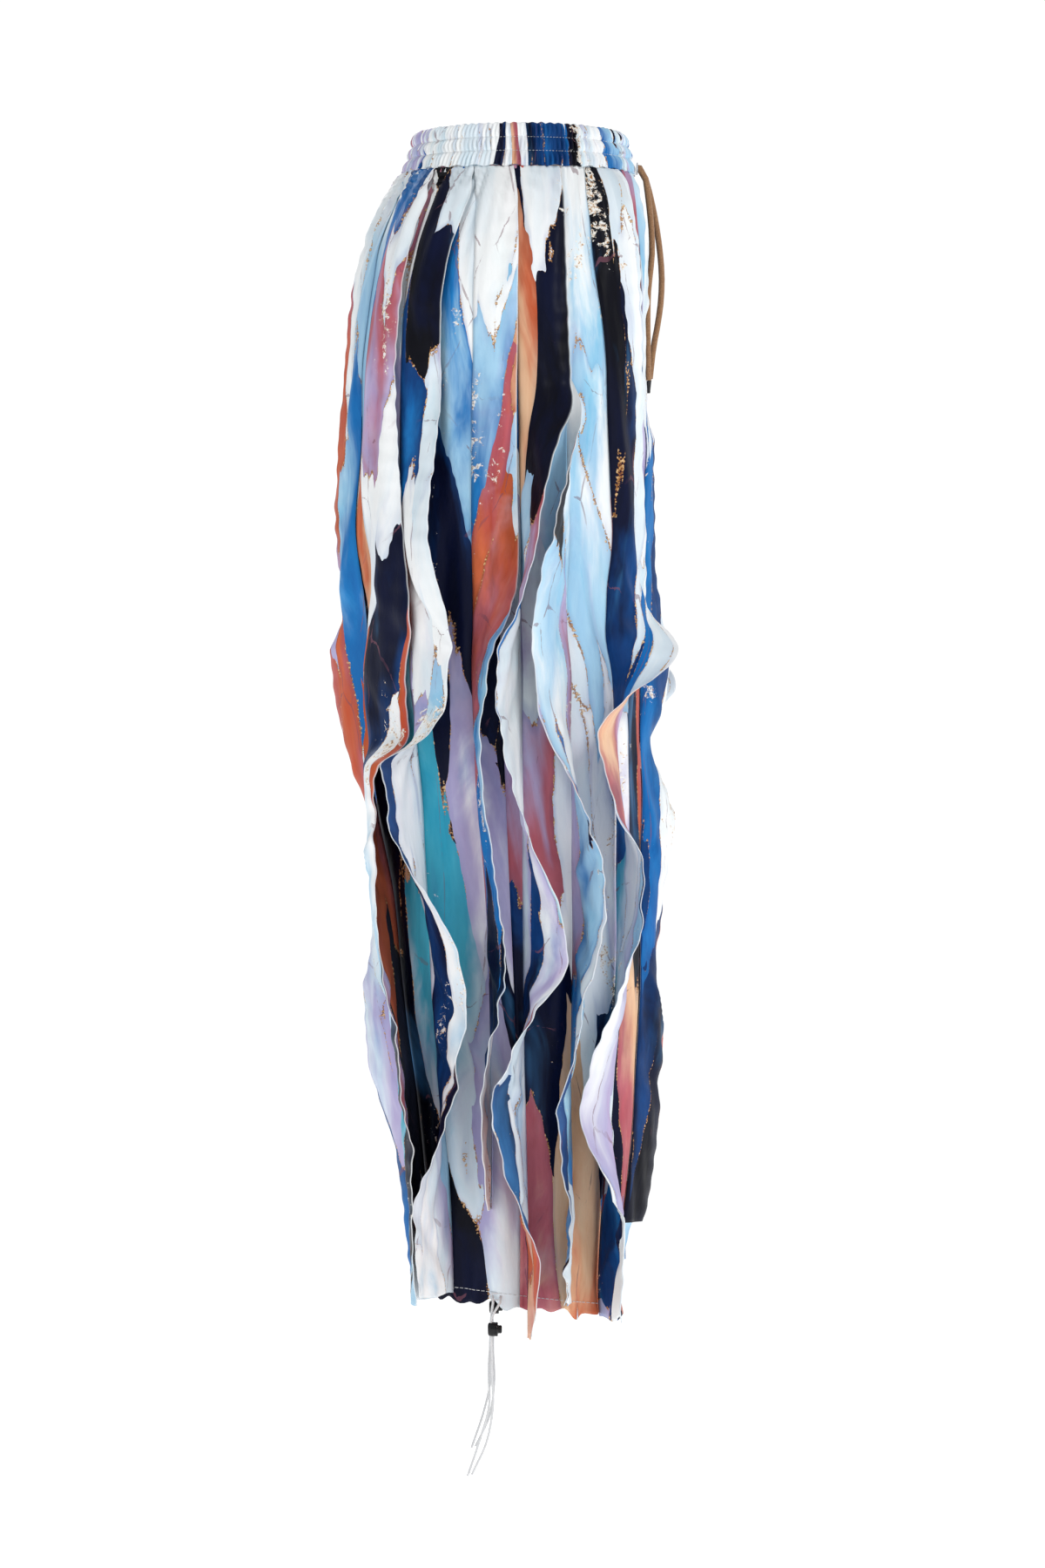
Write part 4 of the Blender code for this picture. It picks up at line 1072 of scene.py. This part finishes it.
def cord_material(name, colour, dark, rough, twist):
    """Braid with twist strands to the metre."""
    material, tree, shader = principled(name, rough, Sheen_Weight=0.25, Sheen_Roughness=0.5)
    where = node(tree, "ShaderNodeTexCoord").outputs["Object"]
    strands = {"Vector": where, "Scale": twist, "Detail": 3.0, "Roughness": 0.6}
    fibre = node(tree, "ShaderNodeTexNoise", strands)
    longer = node(tree, "ShaderNodeMapping", {"Vector": where, "Scale": (1.0, 1.0, 0.55)}).outputs[0]
    weave = node(tree, "ShaderNodeTexVoronoi", {"Vector": longer, "Scale": twist * 1.2}).outputs["Distance"]
    tint = ramp(tree, fibre.outputs["Fac"], [(0.35, dark), (0.65, colour)])
    # painted shade: the braid's colour darkens towards the edges of each strand's cell
    shade = ramp(tree, weave, [(0.1, (1, 1, 1)), (0.9, (0.72, 0.70, 0.68))])
    tree.links.new(mix(tree, 1.0, tint, shade, "MULTIPLY"), shader.inputs["Base Color"])
    relief(tree, shader, weave, 0.5, -0.0004)
    return material


TAN = cord_material("drawstring_braid", srgb("b48b62"), srgb("94694a"), 0.85, 1100.0)
WHITE_CORD = cord_material("hem_cord_braid", srgb("f4f5f6"), srgb("dfe2e6"), 0.55, 2200.0)
print("cord materials", TAN.name, WHITE_CORD.name)

# %% [markdown]
# ## Waist drawstring
#
# Each end of the drawstring leaves its eyelet, falls over the edge of the
# band and lies on the cloth, down to a black sleeve. A note of its start,
# length and end is kept with each cord.

# %% Waist drawstring
DRAW_THICK, DRAW_STEP = 0.0054, 0.0110
cords = []


def cord_curve(name, path, diameter, material):
    """A round cord along the points, and its length."""
    data = bpy.data.curves.new(name, "CURVE")
    data.dimensions = "3D"
    data.bevel_depth = diameter / 2
    data.bevel_resolution = 4
    data.use_fill_caps = True
    spline = data.splines.new("POLY")
    spline.points.add(len(path) - 1)
    for point, at in zip(spline.points, path):
        point.co = (*at, 1)
    data.materials.append(material)
    made = bpy.data.objects.new(name, data)
    bpy.context.scene.collection.objects.link(made)
    return made, float(np.linalg.norm(np.diff(path, axis=0), axis=1).sum())


for letter, knots in DRAW_ENDS.items():
    path = smooth_path(knots, DRAW_STEP)
    made, length = cord_curve(f"drawstring_{letter}_cord", path, DRAW_THICK, TAN)
    tip = f"drawstring_tip_{letter}"
    cords.append((made, f"drawstring_{letter}", path[0], length, DRAW_THICK, "fitting", tip))
    print(made.name, round(length, 4), "m")

# %% [markdown]
# ## Hem cords
#
# Two ends leave each worked slit, turn down, come together through the
# lock's hole and part again below it. The route is written for the right
# leg, and the left leg's is mirrored, its ends hanging a little straighter.

# %% Hem cords
HEM_THICK, HEM_STEP = 0.0021, 0.0050
APART = {1: (0.0033, 0.00135), 2: (-0.0033, -0.00135)}      # of the two ends, along the slit and in the hole
LEFT_HANGS = 0.0015
skin = float(on_form(1.080, SLIT_Z)[0][0]) - 0.0011
for letter, side in SIDES.items():
    swing = 0.0 if side < 0 else LEFT_HANGS
    for number, (dy, dx) in APART.items():
        lx = LOCK_X + dx
        tail = [(lx + x, y - swing * (k > 2), z) for k, (x, y, z) in enumerate(HEM_TAILS[number])]
        knots = [(skin, SLIT_Y + dy, SLIT_Z), (skin - 0.0022, SLIT_Y + dy, SLIT_Z - 0.0003),
                 (skin - 0.0038 + dx * 0.4, SLIT_Y + dy * 0.9, SLIT_Z - 0.0050),
                 (lx, HOLE_Y + (SLIT_Y - HOLE_Y + dy) * 0.35, -1.0220),
                 (lx, HOLE_Y, -1.0290), (lx, HOLE_Y, -1.0360), (lx, HOLE_Y, -1.0440)] + tail
        path = smooth_path(knots, HEM_STEP) * np.array([-side, 1, 1])
        made, length = cord_curve(f"hem_cord_{number}_{letter}_cord", path, HEM_THICK, WHITE_CORD)
        cords.append((made, f"hem_cord_{number}_{letter}", path[0], length, HEM_THICK, "bare", None))
        print(made.name, round(length, 4), "m")

# %% [markdown]
# ## Small hard pieces
#
# The worked eyelets, slits and sleeves keep their CAD shape and get their
# finish: close overcast thread, and glossy or satin black plastic with a
# fine mould grain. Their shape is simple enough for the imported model's mesh,
# so only the material in their slots is exchanged.


# %% Trim materials
def plastic(name, colour, rough, specular):
    """Moulded plastic, with a grain in its colour, gloss and relief."""
    material, tree, shader = principled(name, rough, Specular_IOR_Level=specular)
    where = node(tree, "ShaderNodeTexCoord").outputs["Object"]
    grain = node(tree, "ShaderNodeTexNoise", {"Vector": where, "Scale": 900.0, "Detail": 3.0}).outputs["Fac"]
    lighter = tuple(c * 1.7 + 0.004 for c in colour)
    tree.links.new(ramp(tree, grain, [(0.3, colour), (0.7, lighter)]), shader.inputs["Base Color"])
    uneven_gloss = math_node(tree, "MULTIPLY_ADD", grain, 0.16, rough - 0.08)
    tree.links.new(uneven_gloss, shader.inputs["Roughness"])
    relief(tree, shader, grain, 0.12, 0.0002)
    return material


def thread_material(name, colour):
    """Twisted thread, with painted shade that darkens it between its turns."""
    material, tree, shader = principled(name, 0.6, Sheen_Weight=0.2)
    where = node(tree, "ShaderNodeTexCoord").outputs["Object"]
    turns = {"Vector": where, "Scale": 1600.0, "Distortion": 2.0}
    strand = node(tree, "ShaderNodeTexWave", turns).outputs["Fac"]
    # painted shade: the thread's colour is darker where its turns meet
    painted_turn_shade = tuple(c * 0.7 for c in colour)
    tree.links.new(ramp(tree, strand, [(0.1, painted_turn_shade), (0.6, colour)]), shader.inputs["Base Color"])
    relief(tree, shader, strand, 0.5, 0.0003)
    return material


LOCK = plastic("lock_plastic", (0.004, 0.004, 0.005), 0.16, 0.30)
SLEEVE = plastic("sleeve_plastic", (0.016, 0.015, 0.016), 0.30, 0.30)
THREAD = thread_material("overcast_thread", srgb("d8dade"))
KEPT = {"drawstring_tip": SLEEVE, "eyelet": THREAD, "hem_slit": THREAD}
for letter in SIDES:
    for name, material in KEPT.items():
        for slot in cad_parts[f"{name}_{letter}"].material_slots:
            slot.material = material
print("CAD nodes kept", len(KEPT) * len(SIDES))

# %% [markdown]
# ## Cord locks
#
# A cord lock is a small barrel with an upright hole for both cord ends and
# a spring plunger across it. Each is turned from a profile, the hole and
# the plunger's bore are cut with a Boolean, and a Bevel rounds the edges,
# so the glossy plastic catches the light as a moulding does.


# %% Turning and cutting
def turn_profile(name, profile, centre, segments=64):
    """Solid turned about a line along Y; profile is (y, radius) pairs."""
    work = bmesh.new()
    rings = []
    for y, radius in profile:
        ring = []
        for t in np.linspace(0, 2 * math.pi, segments, endpoint=False):
            at = (centre[0] + radius * math.cos(t), y, centre[2] + radius * math.sin(t))
            ring.append(work.verts.new(at))
        rings.append(ring)
    for one, two in zip(rings[:-1], rings[1:]):
        for k in range(segments):
            after = (k + 1) % segments
            work.faces.new((one[k], one[after], two[after], two[k]))
    work.faces.new(rings[0][::-1])
    work.faces.new(rings[-1])
    bmesh.ops.recalc_face_normals(work, faces=work.faces)
    mesh = bpy.data.meshes.new(name)
    work.to_mesh(mesh)
    work.free()
    made = bpy.data.objects.new(name, mesh)
    bpy.context.scene.collection.objects.link(made)
    return made


def plain_mesh(made):
    """Put the result of an object's modifiers in their place."""
    bpy.context.view_layer.update()
    plain = bpy.data.meshes.new_from_object(made.evaluated_get(bpy.context.evaluated_depsgraph_get()))
    made.modifiers.clear()
    made.data = plain
    return plain


def finished(made, cutters, bevel):
    """Cut, round the edges, and keep the result as a plain mesh."""
    for cutter in cutters:
        cut = made.modifiers.new("cut", "BOOLEAN")
        cut.operation = "DIFFERENCE"
        cut.solver = "EXACT"
        cut.object = cutter
    edge = made.modifiers.new("edge", "BEVEL")
    edge.width = bevel
    edge.segments = 3
    edge.limit_method = "ANGLE"
    edge.angle_limit = math.radians(34)
    plain = plain_mesh(made)
    for cutter in cutters:
        bpy.data.objects.remove(cutter, do_unlink=True)
    plain.materials.clear()
    plain.materials.append(LOCK)
    plain.polygons.foreach_set("use_smooth", np.ones(len(plain.polygons), bool))
    plain.set_sharp_from_angle(angle=math.radians(40))
    return made


# %% [markdown]
# ## The two locks
#
# The barrel has a shallow groove near its button end and a domed far end.
# Its hole is longer across than it is wide, for two cords side by side. The
# plunger is a button with a neck. Profiles are written once and used for
# both legs, and the mirrored lock only moves to the other side.

# %% Cord locks
LOCK_RADIUS = (LOCK_TOP - LOCK_LOW) / 2
# y, and the radius as a share of the barrel's
BARREL = [(0.0276, 0.50), (0.0274, 0.70), (0.0269, 0.86), (0.0260, 0.96), (0.0249, 1), (0.0213, 1),
          (0.0211, 0.96), (0.0208, 0.96), (0.0206, 1), (0.0196, 1), (0.0190, 0.95), (0.0188, 0.90)]
# y and radius
BUTTON = [(0.0153, 0.0022), (0.0154, 0.0028), (0.0158, 0.0033), (0.0166, 0.0036), (0.0172, 0.0036),
          (0.0173, 0.0034), (0.0176, 0.0034), (0.0177, 0.0036), (0.0218, 0.0036)]
BORE = [(0.0177, 0.0040), (0.0225, 0.0040)]
HOLE_HALF = (0.0028, 0.0017)                     # half the hole's length and width
locks = {}
for letter, side in SIDES.items():
    centre = (-side * LOCK_X, 0, (LOCK_TOP + LOCK_LOW) / 2)
    barrel = [(y, LOCK_RADIUS * part) for y, part in BARREL]
    body = turn_profile(f"lock_{letter}_barrel", barrel, centre)
    slot = turn_profile("slot", [(-0.025, 1.0), (0.025, 1.0)], (0, 0, 0), 40)
    slot.data.transform(Matrix.Rotation(math.pi / 2, 4, "X"))
    in_place = Matrix.Translation((centre[0], HOLE_Y, centre[2]))
    slot.data.transform(in_place @ Matrix.Diagonal((*HOLE_HALF, 1, 1)))
    bore = turn_profile("bore", BORE, centre, 48)
    locks[f"lock_body_{letter}"] = finished(body, [slot, bore], 0.00022)
    button = turn_profile(f"lock_{letter}_plunger", BUTTON, centre)
    locks[f"lock_button_{letter}"] = finished(button, [], 0.00012)
print("lock faces", [len(o.data.polygons) for o in locks.values()])

# %% [markdown]
# ## Stitching
#
# Rows of small white stitches close the tunnels of the waistband and the
# channel in each hem. A line over the finished cloth is turned into stitches
# by Geometry Nodes: the curve is sampled at the stitch pitch and a short
# thread is set at each point along the line. A tree with named inputs serves
# both rows, which differ only in the size of their stitches.

# %% Stitch tree
STITCH_SIZES = [("Pitch", 0.0030), ("Length", 0.0021), ("Thickness", 0.0003)]


def stitch_tree():
    """Geometry Nodes tree that turns edges into rows of stitches."""
    tree = bpy.data.node_groups.new("stitches_on_line", "GeometryNodeTree")
    tree.interface.new_socket("Geometry", in_out="INPUT", socket_type="NodeSocketGeometry")
    for label, value in STITCH_SIZES:
        tree.interface.new_socket(label, in_out="INPUT", socket_type="NodeSocketFloat").default_value = value
    tree.interface.new_socket("Thread", in_out="INPUT", socket_type="NodeSocketMaterial")
    tree.interface.new_socket("Geometry", in_out="OUTPUT", socket_type="NodeSocketGeometry")
    given = tree.nodes.new("NodeGroupInput").outputs
    to_curve = node(tree, "GeometryNodeMeshToCurve", {"Mesh": given["Geometry"]}).outputs[0]
    spaced = {"Curve": to_curve, "Length": given["Pitch"]}
    points = node(tree, "GeometryNodeCurveToPoints", spaced, mode="LENGTH")
    thread = node(tree, "GeometryNodeMeshCylinder", {
        "Vertices": 6, "Radius": given["Thickness"], "Depth": given["Length"]}).outputs["Mesh"]
    turn = node(tree, "FunctionNodeAlignRotationToVector", {"Vector": points.outputs["Tangent"]}, axis="Z")
    placed = node(tree, "GeometryNodeInstanceOnPoints", {
        "Points": points.outputs["Points"], "Instance": thread, "Rotation": turn.outputs[0]}).outputs[0]
    real = node(tree, "GeometryNodeRealizeInstances", {"Geometry": placed}).outputs[0]
    done = node(tree, "GeometryNodeSetMaterial", {"Geometry": real, "Material": given["Thread"]}).outputs[0]
    tree.links.new(done, tree.nodes.new("NodeGroupOutput").inputs[0])
    return tree


STITCHES = stitch_tree()
STITCH_WHITE = thread_material("stitch_thread", srgb("eef0f2"))
print("stitch tree nodes", len(STITCHES.nodes))

# %% [markdown]
# ## Stitch the waistband and hems
#
# The band's lines are rows of its own outer grid, set a hair above the
# cloth, so the stitches follow every gather. The hem's line runs over the
# folds at the top of the cord's channel. A mesh of bare edges carries the
# lines into the tree, and the result comes back as a plain mesh.


# %% Rows of stitches
def stitch_lines(name, lines, pitch, length, thickness, closed=False):
    """Stitches along lines of points; closed joins each line's ends."""
    mesh = bpy.data.meshes.new(name)
    points, edges = [], []
    for line in lines:
        first = len(points)
        points += [tuple(p) for p in line]
        edges += [(first + i, first + i + 1) for i in range(len(line) - 1)]
        if closed:
            edges.append((len(points) - 1, first))
    mesh.from_pydata(points, edges, [])
    made = bpy.data.objects.new(name, mesh)
    bpy.context.scene.collection.objects.link(made)
    modifier = made.modifiers.new("stitches", "NODES")
    modifier.node_group = STITCHES
    given = {"Pitch": pitch, "Length": length, "Thickness": thickness, "Thread": STITCH_WHITE}
    for item in STITCHES.interface.items_tree:
        if item.in_out == "INPUT" and item.name in given:
            modifier[item.identifier] = given[item.name]
    print(name, len(plain_mesh(made).polygons), "faces")
    return made


OVER_CLOTH = 0.0002
band_lines = []
for row in (TUNNEL_ROWS, 2 * TUNNEL_ROWS):
    ring = band_outer[row].copy()
    out = normal[row] * OVER_CLOTH
    out[:, 0] *= np.where(band_side < 0, 1, -1)
    ring[:, :2] += out
    band_lines.append(ring[::3])
band_stitches = stitch_lines("waistband_stitches", band_lines, 0.0030, 0.0017, 0.00020, closed=True)

CHANNEL_HIGH, SEAM_GAP, HEM_OVER = 0.0105, 0.002, 0.0003
hem_lines = []
for side in SIDES.values():
    for a_from, a_to in HALVES.values():
        a = np.linspace(a_from + SEAM_GAP, a_to - SEAM_GAP, 200)
        z = height_at(a, 1.0) + CHANNEL_HIGH
        spot, normal, _ = on_form(a, z)
        over = (folds(a, z, FOLD_SEEDS[side]) + HEM_OVER)[:, None]
        hem_lines.append(to_side(np.concatenate([spot + normal * over, z[:, None]], -1), side))
hem_stitches = stitch_lines("hem_stitches", hem_lines, 0.0042, 0.0029, 0.00028)

# %% [markdown]
# ## Ride and replace
#
# Each cloth piece, lock and cord rides on the root and replaces its CAD
# solid, which is hidden. The rows of stitches ride on the root too.

# %% Ride and replace
for name, piece in pieces.items():
    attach(piece, "root")
    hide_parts(name)
    if name.startswith("strip"):
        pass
    elif name.startswith("leg"):
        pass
    else:
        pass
for name, piece in locks.items():
    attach(piece, "root")
    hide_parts(name)
for made, cad, start, length, diameter, end, on_it in cords:
    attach(made, "root")
    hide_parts(cad)
for made in (band_stitches, hem_stitches):
    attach(made, "root")

# %% [markdown]
# ## Floor
#
# The garment keeps its hollow, filled-out form, clear of a plain pale floor.
# The floor is one large disc, wide enough to fill the view from every side.
# It glows a little, so that it stays as pale as a lit studio floor.

# %% Floor
FLOOR_Z, FLOOR_RADIUS = -1.30, 40
floor_mesh = bpy.data.meshes.new("floor")
turns = np.linspace(0, 2 * math.pi, 96, endpoint=False)
rim = [(FLOOR_RADIUS * math.cos(t), FLOOR_RADIUS * math.sin(t), FLOOR_Z) for t in turns]
floor_mesh.from_pydata(rim, [], [tuple(range(len(rim)))])
floor = bpy.data.objects.new("floor", floor_mesh)
bpy.context.scene.collection.objects.link(floor)
floor_material, tree, shader = principled("pale_floor", 0.9, Specular_IOR_Level=0.0)
where = node(tree, "ShaderNodeTexCoord").outputs["Object"]
floor_grain = node(tree, "ShaderNodeTexNoise", {"Vector": where, "Scale": 40.0}).outputs["Fac"]
pale = ramp(tree, floor_grain, [(0.3, (0.86, 0.86, 0.86)), (0.7, (0.90, 0.90, 0.90))])
tree.links.new(pale, shader.inputs["Base Color"])
shader.inputs["Emission Color"].default_value = (1, 1, 1, 1)
shader.inputs["Emission Strength"].default_value = 0.62
floor_mesh.materials.append(floor_material)
print("floor", 2 * FLOOR_RADIUS, "m across")

# %% [markdown]
# ## Sky and lights
#
# A white sky lights every fold softly. The camera sees a brighter sky than
# the one that lights the cloth, which a Light Path node tells apart, so the
# backdrop is white and the shade still has depth. Four large disc lamps do
# the rest: a key from the front and above, a fill from behind, and two from
# the far side for the views round the back.

# %% Sky and lights
world = bpy.data.worlds.new("sky")
world.use_nodes = True
tree = world.node_tree
tree.nodes.clear()
seen = node(tree, "ShaderNodeBackground", {"Color": (1, 1, 1, 1), "Strength": 1.05})
light_sky = node(tree, "ShaderNodeBackground", {"Color": (0.97, 0.985, 1.0, 1), "Strength": 0.49})
by_camera = node(tree, "ShaderNodeLightPath").outputs["Is Camera Ray"]
both = node(tree, "ShaderNodeMixShader", {0: by_camera, 1: light_sky.outputs[0], 2: seen.outputs[0]})
node(tree, "ShaderNodeOutputWorld", {"Surface": both.outputs[0]})
bpy.context.scene.world = world

AIM = np.array([0, 0, -0.55])
# name, place, size and power in watts
LAMPS = [("key", (-3.4, -2.6, 2.4), 1.3, 74), ("fill", (-3.6, 3.0, 0.2), 2.6, 20),
         ("back", (3.5, 1.5, 1.8), 2.4, 45), ("front", (2.2, -4.0, 0.8), 2.4, 22)]
for name, at, size, power in LAMPS:
    data = bpy.data.lights.new(name, "AREA")
    data.shape = "DISK"
    data.size = size
    data.energy = power
    lamp = bpy.data.objects.new(name, data)
    lamp.location = at
    aim = AIM - np.array(at)
    flat = math.hypot(aim[0], aim[1])
    lamp.rotation_euler = (math.atan2(flat, -aim[2]), 0, math.atan2(aim[1], aim[0]) - math.pi / 2)
    bpy.context.scene.collection.objects.link(lamp)
print("lamps", len(LAMPS))
